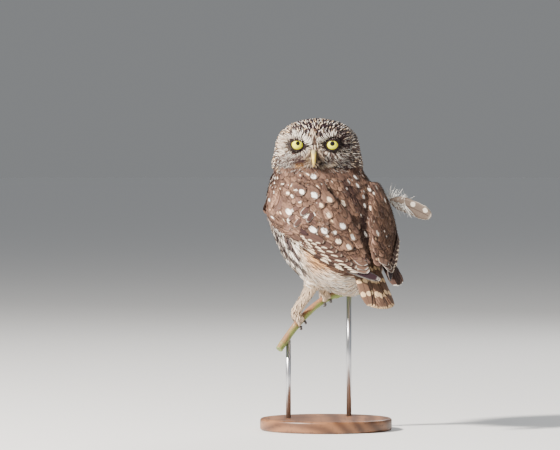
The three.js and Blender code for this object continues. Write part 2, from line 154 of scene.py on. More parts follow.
# %% [markdown]
# ## One skin
# Head, neck, trunk, wings and legs are separate solids with thin cuts between them. Copies of them
# are swollen a little so that they overlap, joined, and remeshed at one even grain, which closes the
# cuts. The result is then smoothed and drawn inward by the depth of the coat, so that the feathers'
# tips end where the solids do. The wing tips are left off: past the flesh there are only feathers.

# %% Join the flesh
PAIRS = [f"{kind}_{side}" for kind in ("wing", "leg", "foot") for side in ("left", "right")]
FLESH = ["head", "neck", "trunk", *PAIRS]
SWELL = 0.35
GRAIN = 1.7
WING_FLESH_END = place(-66, 168)
WING_FLESH_CUT = -0.86 * AHEAD - 0.5 * UP


def node_copy(name, swell=0.0):
    """A welded copy of a solid as a bmesh, swollen along its normals, in metres."""
    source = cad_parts[name]
    shape = bmesh.new()
    shape.from_mesh(source.data)
    bmesh.ops.transform(shape, matrix=source.matrix_world, verts=shape.verts)
    bmesh.ops.remove_doubles(shape, verts=shape.verts, dist=1e-6)
    shape.normal_update()
    for vert in shape.verts:
        vert.co += vert.normal * swell * MM
    return shape


def mesh_from(shape, name):
    mesh = bpy.data.meshes.new(name)
    shape.to_mesh(mesh)
    shape.free()
    return mesh


def object_from(mesh, name):
    piece = bpy.data.objects.new(name, mesh)
    bpy.context.scene.collection.objects.link(piece)
    return piece


def add_to(joined, shape):
    """Add a bmesh to another; the added one is used up."""
    part = mesh_from(shape, "part")
    joined.from_mesh(part)
    bpy.data.meshes.remove(part)


def joined_flesh():
    """The swollen solids in one bmesh, and the solid that each of its faces came from."""
    joined = bmesh.new()
    labels = []
    for name in FLESH:
        shape = node_copy(name, SWELL)
        if name.startswith("wing"):
            everything = shape.verts[:] + shape.edges[:] + shape.faces[:]
            cut = bmesh.ops.bisect_plane(shape, geom=everything, plane_co=Vector(WING_FLESH_END * MM),
                                         plane_no=Vector(WING_FLESH_CUT), clear_outer=True)
            edges = [item for item in cut["geom_cut"] if isinstance(item, bmesh.types.BMEdge)]
            bmesh.ops.holes_fill(shape, edges=edges)
            bmesh.ops.triangulate(shape, faces=shape.faces[:])
        labels += [name] * len(shape.faces)
        add_to(joined, shape)
    return joined, labels


flesh, flesh_labels = joined_flesh()
flesh_tree = BVHTree.FromBMesh(flesh)
rough = object_from(mesh_from(flesh, "rough_skin"), "rough_skin")
remesh = rough.modifiers.new("even grain", "REMESH")
remesh.mode = "VOXEL"
remesh.voxel_size = GRAIN * MM
remeshed = rough.evaluated_get(bpy.context.evaluated_depsgraph_get())
skin_mesh = bpy.data.meshes.new_from_object(remeshed)
bpy.data.objects.remove(rough)
print("remeshed skin:", len(skin_mesh.polygons), "faces")

# %% [markdown]
# ## The skin's own shape
# Smoothing takes the steps of the remesh away. The toes are left out of it, because it would thin
# them. A ridge over each eye carries the brow, and a ring of lids is laid round each eyeball: its
# inner edge is the eye's opening, and its outer edge is sunk into the face.

# %% Smooth the skin and draw it inward
COAT_DEPTH = {"head": 1.6, "neck": 2.4, "trunk": 2.6, "wing": 1.5, "leg": 1.3, "foot": 0.25}
EVEN_ROUNDS, LAST_ROUNDS = 9, 3


def labels_at(points):
    """The solid that each point, in millimetres, is nearest to."""
    return np.array([flesh_labels[flesh_tree.find_nearest(Vector(p * MM))[2]] for p in points])


def relax(shape, verts, rounds):
    """Even out a surface: each round moves its points halfway to the middle of their neighbours."""
    for _ in range(rounds):
        bmesh.ops.smooth_vert(shape, verts=verts, factor=0.5,
                              use_axis_x=True, use_axis_y=True, use_axis_z=True)


LID_SIDES = 56
LID_WIDE = {"left": 5.5, "right": 6.1}
LID_ABOVE, LID_BELOW = 3.7, 4.6
LID_OUTER = 9.3
LID_PROFILE = [(0.0, 8.6), (0.04, 8.95), (0.2, 9.2), (0.5, 9.2), (0.8, 9.2)]
LID_SKIRT = [(9.5, 0.4), (10.2, -1.5), (9.2, -3.0), (8.75, -0.5), (8.5, 1.5)]


def add_lids(shape, eye, wide):
    """A closed ring of lids over an eyeball: rounded at the opening, sunk into the face outside."""
    rings = []
    for turn in np.linspace(0, 2 * math.pi, LID_SIDES, endpoint=False):
        across, up = math.cos(turn), math.sin(turn)
        high = LID_ABOVE if up > 0 else LID_BELOW
        opening = 1 / math.hypot(across / wide, up / high)
        spots = [(opening + (LID_OUTER - opening) * share, radius) for share, radius in LID_PROFILE]
        spots = [(far, math.sqrt(max(radius**2 - far**2, 1.0))) for far, radius in spots] + LID_SKIRT
        side = FACE_RIGHT * across + UP * up
        rings.append([shape.verts.new((eye + side * far + FACE_AHEAD * depth) * MM) for far, depth in spots])
    made = []
    for ring, following in zip(rings, rings[1:] + rings[:1], strict=True):
        for k in range(len(ring)):
            n = (k + 1) % len(ring)
            made.append(shape.faces.new((ring[k], following[k], following[n], ring[n])))
    bmesh.ops.recalc_face_normals(shape, faces=made)


def drop_bubbles(shape):
    """Keep only the largest connected piece of a mesh."""
    unseen, pieces = set(shape.verts), []
    while unseen:
        piece, rim = set(), [unseen.pop()]
        while rim:
            vert = rim.pop()
            piece.add(vert)
            near = {edge.other_vert(vert) for edge in vert.link_edges} & unseen
            unseen -= near
            rim += near
        pieces.append(piece)
    for piece in sorted(pieces, key=len)[:-1]:
        bmesh.ops.delete(shape, geom=list(piece), context="VERTS")


shape = bmesh.new()
shape.from_mesh(skin_mesh)
drop_bubbles(shape)
where = labels_at(np.array([v.co for v in shape.verts]) / MM)
toes = np.char.startswith(where, "foot")
body = [v for v, toe in zip(shape.verts, toes, strict=True) if not toe]
relax(shape, body, EVEN_ROUNDS)
shape.normal_update()
for vert, label in zip(shape.verts, where, strict=True):
    vert.co -= vert.normal * (COAT_DEPTH[label.split("_")[0]] + SWELL) * MM
relax(shape, body, LAST_ROUNDS)
RIDGE_RISE, RIDGE_ABOVE_EYE, RIDGE_LONG, RIDGE_THICK = 2.6, 8.6, 8.5, 2.8
face_up = np.array([v.co for v in shape.verts]) / MM
for eye in EYES.values():
    away = face_up - eye
    across_eye, above_eye, ahead_eye = dot(away, FACE_RIGHT), away[:, 2], dot(away, FACE_AHEAD)
    ridge = RIDGE_RISE * blob((across_eye, 0, RIDGE_LONG), (above_eye, RIDGE_ABOVE_EYE, RIDGE_THICK))
    ridge = ridge * smooth(-6, 0, ahead_eye)
    for vert, rise in zip(shape.verts, ridge.tolist(), strict=True):
        if rise > 0.02:
            vert.co += Vector(FACE_AHEAD - 0.25 * UP) * rise * MM
for side, eye in EYES.items():
    add_lids(shape, eye, LID_WIDE[side])
shape.normal_update()
shape.to_mesh(skin_mesh)
shape.free()
skin_mesh.name = "owl_skin"
skin = object_from(skin_mesh, "owl_skin")
print("skin points per solid:", {name: int(np.sum(where == name)) for name in FLESH})

# %% [markdown]
# ## Reading the skin
# Laying feathers needs three things at any spot: the nearest point of the skin, the direction that
# is outward there, and the way the plumage lies. A search tree gives the first, averaged normals
# the second, and a few simple rules the third. The skin is also unwrapped once, so that each feather
# knows its root's place on that flat map.

# %% Tables of the skin's faces
bpy.context.view_layer.objects.active = skin
skin.select_set(True)
bpy.ops.object.mode_set(mode="EDIT")
bpy.ops.mesh.select_all(action="SELECT")
bpy.ops.uv.smart_project(angle_limit=math.radians(66), island_margin=0.004)
bpy.ops.object.mode_set(mode="OBJECT")
skin_mesh.uv_layers[0].name = "OFBake"


def read(collection, name, width, kind=np.float32):
    values = np.empty(len(collection) * width, kind)
    collection.foreach_get(name, values)
    return values.reshape(-1, width) if width > 1 else values


skin_points = read(skin_mesh.vertices, "co", 3).astype(float) / MM
skin_normals = read(skin_mesh.vertex_normals, "vector", 3).astype(float)
loop_starts = read(skin_mesh.polygons, "loop_start", 1, np.int32)
loop_counts = read(skin_mesh.polygons, "loop_total", 1, np.int32)
loop_points = read(skin_mesh.loops, "vertex_index", 1, np.int32)
loop_places = read(skin_mesh.uv_layers["OFBake"].uv, "vector", 2).astype(float)
quads = np.stack([loop_points[loop_starts + np.minimum(k, loop_counts - 1)] for k in range(4)], 1)
face_places = np.mean([loop_places[loop_starts + np.minimum(k, loop_counts - 1)] for k in range(4)], 0)
face_middles = skin_points[quads].mean(1)
face_normals = unit(skin_normals[quads].mean(1))
corner_a, corner_b, corner_c, corner_d = (skin_points[quads[:, k]] for k in range(4))
face_areas = (np.linalg.norm(np.cross(corner_b - corner_a, corner_c - corner_a), axis=1)
              + np.linalg.norm(np.cross(corner_c - corner_a, corner_d - corner_a), axis=1)) / 2
face_labels = labels_at(face_middles)
skin_tree = BVHTree.FromPolygons(skin_points.tolist(), quads.tolist())
print("skin area in square millimetres:", round(float(face_areas.sum())))


def settle(points):
    """The nearest skin point, outward direction and face of each point."""
    found = np.empty_like(points)
    faces = np.empty(len(points), int)
    for i, point in enumerate(points.tolist()):
        spot, _, face, _ = skin_tree.find_nearest(point)
        found[i] = spot
        faces[i] = face
    return found, face_normals[faces], faces


# %% [markdown]
# ## The lie of the plumage
# On the head the feathers run away from the bill, and round each eye they stand outward like spokes.
# On the body they point to a place behind it, one for the back and one for the belly. The wings and
# legs have aims of their own.

# %% Which way the plumage lies
WING_AIM = {"left": place(-140, 128, -6), "right": place(-140, 128, 22)}
BACK_AIM = place(-125, 120)
BELLY_AIM = place(-75, 118)
REARWARD = -0.83 * AHEAD + 0.56 * UP


def behind_by(points):
    """How far points lie behind the plane that parts the back from the breast."""
    return dot(points - place(5, 205), REARWARD)


def head_flow(points):
    """Away from the bill over the crown, then down the back of the head; outward round each eye."""
    flow = unit(points - BILL)
    behind = smooth(0, 45, dot(points - HEAD_MIDDLE, -FACE_AHEAD))
    flow = unit(flow + behind[:, None] * np.array([0, 0.2, -2.2]))
    for centre in EYES.values():
        away = points - centre
        away = away - dot(away, FACE_AHEAD)[:, None] * FACE_AHEAD
        in_front = smooth(-2, 3, dot(points - HEAD_MIDDLE, FACE_AHEAD))
        near = (1 - smooth(9, 19, np.linalg.norm(away, axis=1))) * in_front
        flow = unit(flow * (1 - near[:, None]) + unit(away) * near[:, None])
    x, z = dot(points - BILL, FACE_RIGHT), points[:, 2] - EYES["left"][2]
    bridge = blob((x, 0, 3.5)) * smooth(-14, -9, z) * smooth(3, -2, z)
    return unit(mix(flow, np.array([0.0, -0.35, -1.0]), bridge))


def flow_at(points, labels):
    """The lie of the plumage at each point, before it is turned along the skin."""
    flow = unit(mix(BELLY_AIM - points, BACK_AIM - points, smooth(-12, 8, behind_by(points))))
    for side in ("left", "right"):
        toward = unit(WING_AIM[side] - points)
        flow = np.where((labels == f"wing_{side}")[:, None], toward, flow)
        leg = (labels == f"leg_{side}") | (labels == f"foot_{side}")
        flow = np.where(leg[:, None], np.array([-0.25, 0.15, -1.0]), flow)
    return np.where((labels == "head")[:, None], head_flow(points), flow)


def along_skin(flow, normals):
    return unit(flow - dot(flow, normals)[:, None] * normals)


# %% [markdown]
# ## Scattering roots
# Feathers grow at nearly even distances, but not on a grid. Dart throwing gives that: random spots
# on the skin are taken in turn, and one is kept only if no kept spot is nearer than the spacing.
# A fixed seed makes every run the same.

# %% Even random roots
TRIES_PER_CELL = 7


def scatter(faces, spacing, seed, taken=()):
    """Spots on the given faces, none nearer to another, or to a taken one, than the spacing."""
    if faces.dtype == bool:
        faces = np.flatnonzero(faces)
    random = np.random.default_rng(seed)
    areas = face_areas[faces]
    tries = int(areas.sum() / spacing**2 * TRIES_PER_CELL) + 40
    chosen = faces[random.choice(len(faces), tries, p=areas / areas.sum())]
    across, along = random.random((2, tries, 1))
    low = skin_points[quads[chosen, 0]] * (1 - across) + skin_points[quads[chosen, 1]] * across
    high = skin_points[quads[chosen, 3]] * (1 - across) + skin_points[quads[chosen, 2]] * across
    spots = low * (1 - along) + high * along
    cells = {}
    for spot in np.array(taken).reshape(-1, 3).tolist():
        cells.setdefault(tuple(int(v // spacing) for v in spot), []).append(spot)
    kept = []
    near = [(i, j, k) for i in (-1, 0, 1) for j in (-1, 0, 1) for k in (-1, 0, 1)]
    limit = spacing**2
    in_cells = (spots // spacing).astype(int).tolist()
    for number, ((x, y, z), spot) in enumerate(zip(in_cells, spots.tolist(), strict=True)):
        crowded = any(
            (spot[0] - other[0]) ** 2 + (spot[1] - other[1]) ** 2 + (spot[2] - other[2]) ** 2 < limit
            for i, j, k in near for other in cells.get((x + i, y + j, z + k), ())
        )
        if not crowded:
            cells.setdefault((x, y, z), []).append(spot)
            kept.append(number)
    return spots[kept], chosen[kept]


# %% [markdown]
# ## The shape of a feather
# A vane is a flat closed shell: rings of points across it, from root to tip, joined to a point at
# each end. Its middle follows the skin, its edges bend down a little, and it rises from root to tip
# so that it lies over the next one like a roof tile. A tuft is the same with a three-cornered
# section. One function builds any number of them as one mesh.

# %% Vanes along the skin
def walk(roots, faces, labels, lengths, rows):
    """Middle lines over the skin: rows of places, normals and directions, from root to tip."""
    spot, normal = roots.copy(), face_normals[faces]
    spots, normals, ways = [], [], []
    for row in range(rows):
        way = along_skin(flow_at(spot, labels), normal)
        spots.append(spot)
        normals.append(normal)
        ways.append(way)
        if row + 1 < rows:
            spot, normal, _ = settle(spot + way * (lengths / (rows - 1))[:, None])
    return np.stack(spots, 1), np.stack(normals, 1), np.stack(ways, 1)


def turned(ways, normals, angles):
    """Directions turned about their normals."""
    sides = np.cross(normals, ways)
    return ways * np.cos(angles)[:, None, None] + sides * np.sin(angles)[:, None, None]


VANE_OUTLINE = [(0.0, 0.30), (0.18, 0.66), (0.42, 0.95), (0.68, 1.0), (0.86, 0.84), (0.96, 0.5)]
LOCK_OUTLINE = [(0.0, 0.45), (0.3, 0.9), (0.6, 0.75), (0.85, 0.4)]
QUILL_OUTLINE = [(0.0, 0.25), (0.08, 0.6), (0.22, 0.92), (0.5, 1.0), (0.78, 0.97), (0.92, 0.74), (0.98, 0.42)]


def outline(shape, rows):
    """Each row's share of the length, and the half-width there as a share of the widest."""
    shares = np.linspace(0, shape[-1][0], rows)
    return shares, np.interp(shares, [s for s, _ in shape], [w for _, w in shape])


ROOT_SINK, TIP_RISE = 0.15, 0.02


def vanes(lines, shares, halves, lift, camber, thickness, across, root, tip):
    """Points and faces of closed vanes; root and tip are how far they run past their lines' ends."""
    middles, normals, ways = lines
    x_top = np.linspace(-1, 1, across)
    x_ring = np.concatenate([x_top, x_top[-2:0:-1]])
    under = np.concatenate([np.zeros(across), np.ones(across - 2)])
    count, rows = middles.shape[:2]
    sides = unit(np.cross(ways, normals))
    height = lift[:, :1] + (lift[:, 1:2] - lift[:, :1]) * shares**1.3
    drop = camber * halves[..., None] * x_ring**2
    rise = height[..., None] - drop - under * thickness
    points = (middles[:, :, None] + sides[:, :, None] * (halves[..., None] * x_ring)[..., None]
              + normals[:, :, None] * rise[..., None])
    root = middles[:, 0] + normals[:, 0] * (height[:, :1] - ROOT_SINK) - ways[:, 0] * root
    tip = middles[:, -1] + normals[:, -1] * (height[:, -1:] + TIP_RISE) + ways[:, -1] * tip[:, None]
    ring = len(x_ring)
    block = np.concatenate([points.reshape(count, -1, 3), root[:, None], tip[:, None]], 1)
    vane_x = np.concatenate([np.tile(x_ring, rows), [0, 0]])
    vane_y = np.concatenate([np.repeat(shares, ring), [0, 1]])
    lower = (np.arange(rows - 1)[:, None] * ring + np.arange(ring)).ravel()
    step = (np.arange(rows - 1)[:, None] * ring + (np.arange(ring) + 1) % ring).ravel()
    quad = np.stack([lower, step, step + ring, lower + ring], 1)
    first = np.arange(ring)
    following = (first + 1) % ring
    last = (rows - 1) * ring
    root_fan = np.stack([np.full(ring, rows * ring), following, first], 1)
    tip_fan = np.stack([last + first, last + following, np.full(ring, rows * ring + 1)], 1)
    return {"points": block, "quad": quad, "fan": np.concatenate([root_fan, tip_fan]),
            "vane": np.stack([vane_x, vane_y], 1)}


# %% [markdown]
# ## Many feathers, one mesh
# Thousands of objects would be slow, so all feathers of a kind go into one mesh. Every point carries
# three attributes: its place on its own feather with a chance number, the marks to be drawn, and the
# ground colour. A small patch of the skin's map round the root serves for baking.

# %% One mesh from many feathers
def attribute(mesh, label, kind, table):
    """A value for each point of a mesh, under a name that a material can ask for."""
    field = "color" if kind == "FLOAT_COLOR" else "vector"
    mesh.attributes.new(label, kind, "POINT").data.foreach_set(field, table.astype(np.float32).ravel())


def shade_smooth(mesh):
    mesh.polygons.foreach_set("use_smooth", np.ones(len(mesh.polygons), bool))


def feather_mesh(name, parts, places, patch, ground, marks):
    """A joined mesh of feathers, with their colours, their own coordinates and their bake patches."""
    count, each = parts["points"].shape[:2]
    shift = (np.arange(count) * each)[:, None, None]
    quad = (parts["quad"][None] + shift).reshape(-1, 4)
    fan = (parts["fan"][None] + shift).reshape(-1, 3)
    corners = np.concatenate([quad.ravel(), fan.ravel()]).astype(np.int32)
    totals = np.concatenate([np.full(len(quad), 4), np.full(len(fan), 3)]).astype(np.int32)
    starts = np.concatenate([[0], np.cumsum(totals)[:-1]]).astype(np.int32)
    mesh = bpy.data.meshes.new(name)
    mesh.vertices.add(count * each)
    mesh.loops.add(len(corners))
    mesh.polygons.add(len(totals))
    mesh.vertices.foreach_set("co", (parts["points"] * MM).astype(np.float32).ravel())
    mesh.loops.foreach_set("vertex_index", corners)
    mesh.polygons.foreach_set("loop_start", starts)
    shade_smooth(mesh)
    mesh.update(calc_edges=True)
    vane = np.broadcast_to(parts["vane"], (count, each, 2)).reshape(-1, 2)
    chance = np.repeat(np.random.default_rng(count).random(count), each)[:, None]
    attribute(mesh, "vane", "FLOAT_VECTOR", np.concatenate([vane, chance], 1))
    attribute(mesh, "marks", "FLOAT_VECTOR", np.repeat(marks[:, :3], each, 0))
    attribute(mesh, "ground", "FLOAT_COLOR", np.repeat(np.concatenate([ground, marks[:, 3:4]], 1), each, 0))
    spread = np.stack([vane[:, 0] * 0.5, vane[:, 1] - 0.5], 1)
    spot = np.repeat(places, each, 0) + spread * np.repeat(np.broadcast_to(patch, count), each)[:, None]
    mesh.uv_layers.new(name="OFBake").uv.foreach_set("vector", spot[corners].astype(np.float32).ravel())
    return mesh


coat = {}


def keep(mesh, name, count):
    """Make a coat piece from a mesh of feathers, and print what it holds."""
    coat[name] = object_from(mesh, name)
    triangles = sum(len(p.vertices) - 2 for p in mesh.polygons)
    print(f"{name}: {count} feathers, {triangles} triangles")


SOUND_SHARE = 0.35


def encloses(points, quad, fan):
    """True for each vane with its faces outward; one that a crease of the skin has folded is not."""
    triangles = np.concatenate([quad[:, :3], quad[:, [0, 2, 3]], fan])
    corner = (points - points.mean(1, keepdims=True))[:, triangles]
    volumes = np.einsum("fti,fti->f", corner[:, :, 0], np.cross(corner[:, :, 1], corner[:, :, 2]))
    return volumes > SOUND_SHARE * np.median(volumes)


def grow(name, roots, faces, length, width, colours, lift=(0.2, 1.6), shape=VANE_OUTLINE, rows=6, across=5,
         camber=0.12, thickness=0.1, turn=0.12, patch=0.003, seed=1, tip=0.05, even=0.14, given=None):
    """Feathers at the given roots, as one coat piece. given holds marks that are set one by one."""
    random = np.random.default_rng(seed)
    count = len(roots)
    lengths = np.broadcast_to(length, count) * random.uniform(1 - even, 1 + even, count)
    widths = np.broadcast_to(width, count) * random.uniform(0.92, 1.08, count)
    shares, halves = outline(shape, rows)
    middles, normals, ways = walk(roots, faces, face_labels[faces], lengths * shares[-1], rows)
    ways = turned(ways, normals, random.normal(0, turn, count))
    swing = random.normal(0, turn, count)[:, None] * (lengths[:, None] * shares) * 0.5
    middles = middles + np.cross(normals, ways) * swing[..., None]
    ragged = 1 + random.normal(0, 0.05, (count, rows))
    lifts = np.broadcast_to(np.array(lift, float), (count, 2)) * random.uniform(0.8, 1.2, (count, 1))
    half_widths = halves * ragged * widths[:, None] / 2
    parts = vanes((middles, normals, ways), shares[None], half_widths, lifts, camber, thickness, across,
                  root=0.4, tip=lengths * tip)
    ground, marks = colours(roots, random)
    if given is not None:
        marks = given
    sound = encloses(parts["points"], parts["quad"], parts["fan"])
    parts["points"] = parts["points"][sound]
    mesh = feather_mesh(name, parts, face_places[faces][sound], patch, ground[sound], marks[sound])
    keep(mesh, name, sound.sum())


# %% [markdown]
# ## Where each kind of feather grows
# Each kind has its own region of the skin. The regions are told by the solid that a face came from
# and by where it lies on it: above or below the brow, on the back or the breast.

# %% Regions of the head
def on_face(points):
    """How far points lie to the right of the bill, and above the eyes, in the plane of the face."""
    return dot(points - BILL, FACE_RIGHT), points[..., 2] - EYES["left"][2]


def eye_distance(points):
    flat = [points - eye - dot(points - eye, FACE_AHEAD)[..., None] * FACE_AHEAD for eye in EYES.values()]
    return np.minimum(*(np.linalg.norm(f, axis=-1) for f in flat))


def lid_share(points):
    """1 at the rim of the nearer eye's opening, growing outward."""
    shares = []
    for side, eye in EYES.items():
        x, z = dot(points - eye, FACE_RIGHT), points[..., 2] - eye[2]
        shares.append(np.hypot(x / LID_WIDE[side], z / np.where(z > 0, LID_ABOVE, LID_BELOW)))
    return np.minimum(*shares)


def brow_shade_line(points):
    """1 on the line of painted shade from the brow over each eye, which runs on a little past its outer
    corner.
    """
    lines = []
    for side, outward, half in (("left", 1, 1.7), ("right", -1, 1.2)):
        out, up = outward * dot(points - EYES[side], FACE_RIGHT), points[..., 2] - EYES[side][2]
        lines.append(blob((up, 5.0, half)) * smooth(-7, -5, out) * smooth(11, 8, out))
    return np.maximum(*lines)


def brow_height(x):
    """The brow's line as height above the eyes: a V that starts over the bill."""
    return -2.0 + 0.56 * np.minimum(np.abs(x), 23) - 0.3 * np.maximum(np.abs(x) - 23, 0)


face_x, face_z = on_face(face_middles)
front = dot(face_middles - HEAD_MIDDLE, FACE_AHEAD) > 2
eye_gap = eye_distance(face_middles)
is_head = face_labels == "head"
is_bill = is_head & front & (np.abs(face_x) < 2.6) & (face_z < -8.5) & (face_z > -19)
is_disc = is_head & front & (face_z < brow_height(face_x)) & (np.abs(face_x) < 36)
is_crown = is_head & ~is_disc
on_lid = eye_gap < 9.5
clear_of_eye = (lid_share(face_middles) > 1.22) & ~(on_lid & (dot(face_normals, FACE_AHEAD) < 0.15))
is_disc = is_disc & ~is_bill & clear_of_eye

# %% [markdown]
# ## Regions of the body
# The back ends above the tail. Under the tail and behind the legs lies the vent's loose down, and the
# rest of the trunk and neck is breast and belly.

# %% Regions of the body
backward = behind_by(face_middles)
is_trunk = np.isin(face_labels, ["trunk", "neck"])
is_back = is_trunk & (backward > 2 + 6 * smooth(205, 250, face_middles[:, 2]))
above_tail = dot(face_middles - place(-36, 172), -0.66 * AHEAD + 0.75 * UP)
is_back &= above_tail > -3
ahead_by = dot(face_middles - place(0, 0), AHEAD)
under_tail = (face_middles[:, 2] < 158) & (ahead_by < 34)
behind_legs = (face_middles[:, 2] < 200) & (ahead_by < -8)
is_vent = is_trunk & ~is_back & (under_tail | behind_legs)
is_breast = is_trunk & ~is_back & ~is_vent
is_leg = np.char.startswith(face_labels, "leg")
is_foot = np.char.startswith(face_labels, "foot")
print("faces:", {"disc": int(is_disc.sum()), "crown": int(is_crown.sum()), "back": int(is_back.sum()),
                 "breast": int(is_breast.sum()), "vent": int(is_vent.sum())})

# %% [markdown]
# ## The wings' own surface
# A folded wing wraps round the side of the trunk. Its surface is written with two numbers: t runs
# along the body from the shoulder to past the rump, and turn is the angle round it from the back's
# middle line to the lower edge. Long feathers are straight lines in those two numbers.

# %% The wing as a surface
ROOF = [(-34, 249), (-47, 227), (-55.5, 204), (-62, 186), (-70, 172.5), (-80, 163), (-92, 155.5)]
FLOOR = [(66, 240), (69, 214), (62, 187), (46, 164), (12, 140), (-26, 126), (-58, 123)]
SPAN = [56, 62.5, 62, 56, 45, 30, 14]
FLARE = [4, 4.5, 6.5, 8, 6, 2, 0]
WING_ROUNDNESS = 0.8
WING_SIDES = {"left": (-1, 0), "right": (1, 1)}


def through(values, t):
    """A smooth curve through evenly spaced stations, straight past the last one."""
    values = np.asarray(values, float)
    last = len(values) - 1
    t = np.asarray(t, float)
    i = np.clip(t.astype(int), 0, last - 1)
    f = np.clip(t, 0, last) - i
    a, b, c, d = (values[np.clip(i + k, 0, last)] for k in (-1, 0, 1, 2))
    curve = b + 0.5 * f * (c - a + f * (2 * a - 5 * b + 4 * c - d + f * (3 * (b - c) + d - a)))
    return curve + np.maximum(t - last, 0) * (values[-1] - values[-2])


def signed_power(x, n):
    return np.sign(x) * np.abs(x) ** n


def wing_point(side, t, turn, out=0.0):
    """Points of a wing's surface, raised by out millimetres; turn is in degrees."""
    sign, flare = WING_SIDES[side]
    edges = [through([p[k] for p in line], t) for line in (ROOF, FLOOR) for k in (0, 1)]
    roof_s, roof_z, floor_s, floor_z = edges
    reach = np.hypot(floor_s - roof_s, floor_z - roof_z) / 2
    middle_s, middle_z = (roof_s + floor_s) / 2, (roof_z + floor_z) / 2
    angle = np.radians(turn)
    up = signed_power(np.cos(angle), WING_ROUNDNESS) * (1 + out / reach)
    span = through(SPAN, t) + flare * through(FLARE, t) + out
    return place(middle_s + (roof_s - middle_s) * up, middle_z + (roof_z - middle_z) * up,
                 sign * span * signed_power(np.sin(angle), WING_ROUNDNESS))


def wing_places(points, side):
    """The two wing numbers of points near a wing's surface."""
    t, turn = np.meshgrid(np.linspace(0, 6, 61), np.linspace(2, 104, 52), indexing="ij")
    grid = wing_point(side, t.ravel(), turn.ravel())
    nearest = np.array([np.argmin(np.sum((grid - p) ** 2, 1)) for p in points])
    return t.ravel()[nearest], turn.ravel()[nearest]


# %% [markdown]
# ## Markings
# A feather's colour has two parts. Its ground colour comes from where it grows, and is one value for
# the whole feather. Its marks are drawn in the feather's own coordinates, so each feather only says
# how large its spot is, how wide its shaft streak, how pale its tip, and how warm the marks are.

# %% Marks, and colours that vary a little
def marks_of(count, spot=0.0, streak=0.0, tip=0.0, warm=0.0):
    return np.stack([np.broadcast_to(np.asarray(v, float), count) for v in (spot, streak, tip, warm)], 1)


def varied(colour, random, count, amount=0.1):
    """One colour a little lighter or darker from feather to feather."""
    return np.broadcast_to(colour, (count, 3)) * np.exp(random.normal(0, amount, (count, 1)))


def layer(ground, random, colour, share, amount=0.1):
    """The ground colours with another colour, a little varied, laid over them."""
    return mix(ground, varied(colour, random, len(ground), amount), share)


# %% [markdown]
# ## Colours of the head
# These functions are given the roots' places and return ground colours and marks. Most areas are soft
# blobs in the plane of the face. Chance numbers decide between dark and pale feathers, so that the
# face is mottled instead of evenly coloured.

# %% Colours of the head
def crown_colours(points, random):
    count = len(points)
    behind = smooth(8, 36, dot(points - HEAD_MIDDLE, -FACE_AHEAD))
    x, z = on_face(points)
    ground = varied(mix(DARK_BROWN, BROWN, 0.6 * behind), random, count, 0.2)
    fore = smooth(14, 4, z - brow_height(x)) * (1 - behind)
    ground = layer(ground, random, ASH, 0.1 * fore, 0.2)
    side = smooth(30, 40, np.abs(x)) * smooth(12, 0, z) * (1 - behind)
    ground = layer(ground, random, GREY_BROWN, 0.7 * side, 0.2)
    coin = random.random(count)
    shadow_half = smooth(4, 22, x) * (1 - behind)
    streak = np.where(coin < 0.7 - 0.18 * shadow_half, random.uniform(0.5, 0.85, count), 0.0)
    spot = np.where(coin > 0.9, random.uniform(0.6, 1.0, count), 0.0)
    # Painted shade: a dark patch over the right eye, on the crown's shaded side, with fewer pale streaks.
    shade_over_right_eye = blob((x, 17, 8), (z - brow_height(x), 5, 3.5)) * (1 - behind)
    ground = layer(ground, random, DARK_BROWN, 0.8 * shade_over_right_eye)
    streak *= 1 - 0.6 * shade_over_right_eye
    false_eyes = [HEAD_MIDDLE + side * 17 * FACE_RIGHT - 36 * FACE_AHEAD - 6 * UP for side in (-1, 1)]
    away = np.minimum(*(np.linalg.norm(points - eye, axis=1) for eye in false_eyes))
    ground = layer(ground, random, CREAM, 0.45 * (1 - smooth(2, 17, away)), 0.2)
    return ground, marks_of(count, spot, streak, 0.0, random.random(count))


def eye_rays(points, eye):
    """Fine spokes round an eye, from -1 to 1, that curl a little as they run outward."""
    away = points - eye
    turn = np.arctan2(away[:, 2], dot(away, FACE_RIGHT))
    return np.cos(17 * turn + 0.35 * np.linalg.norm(away, axis=1))


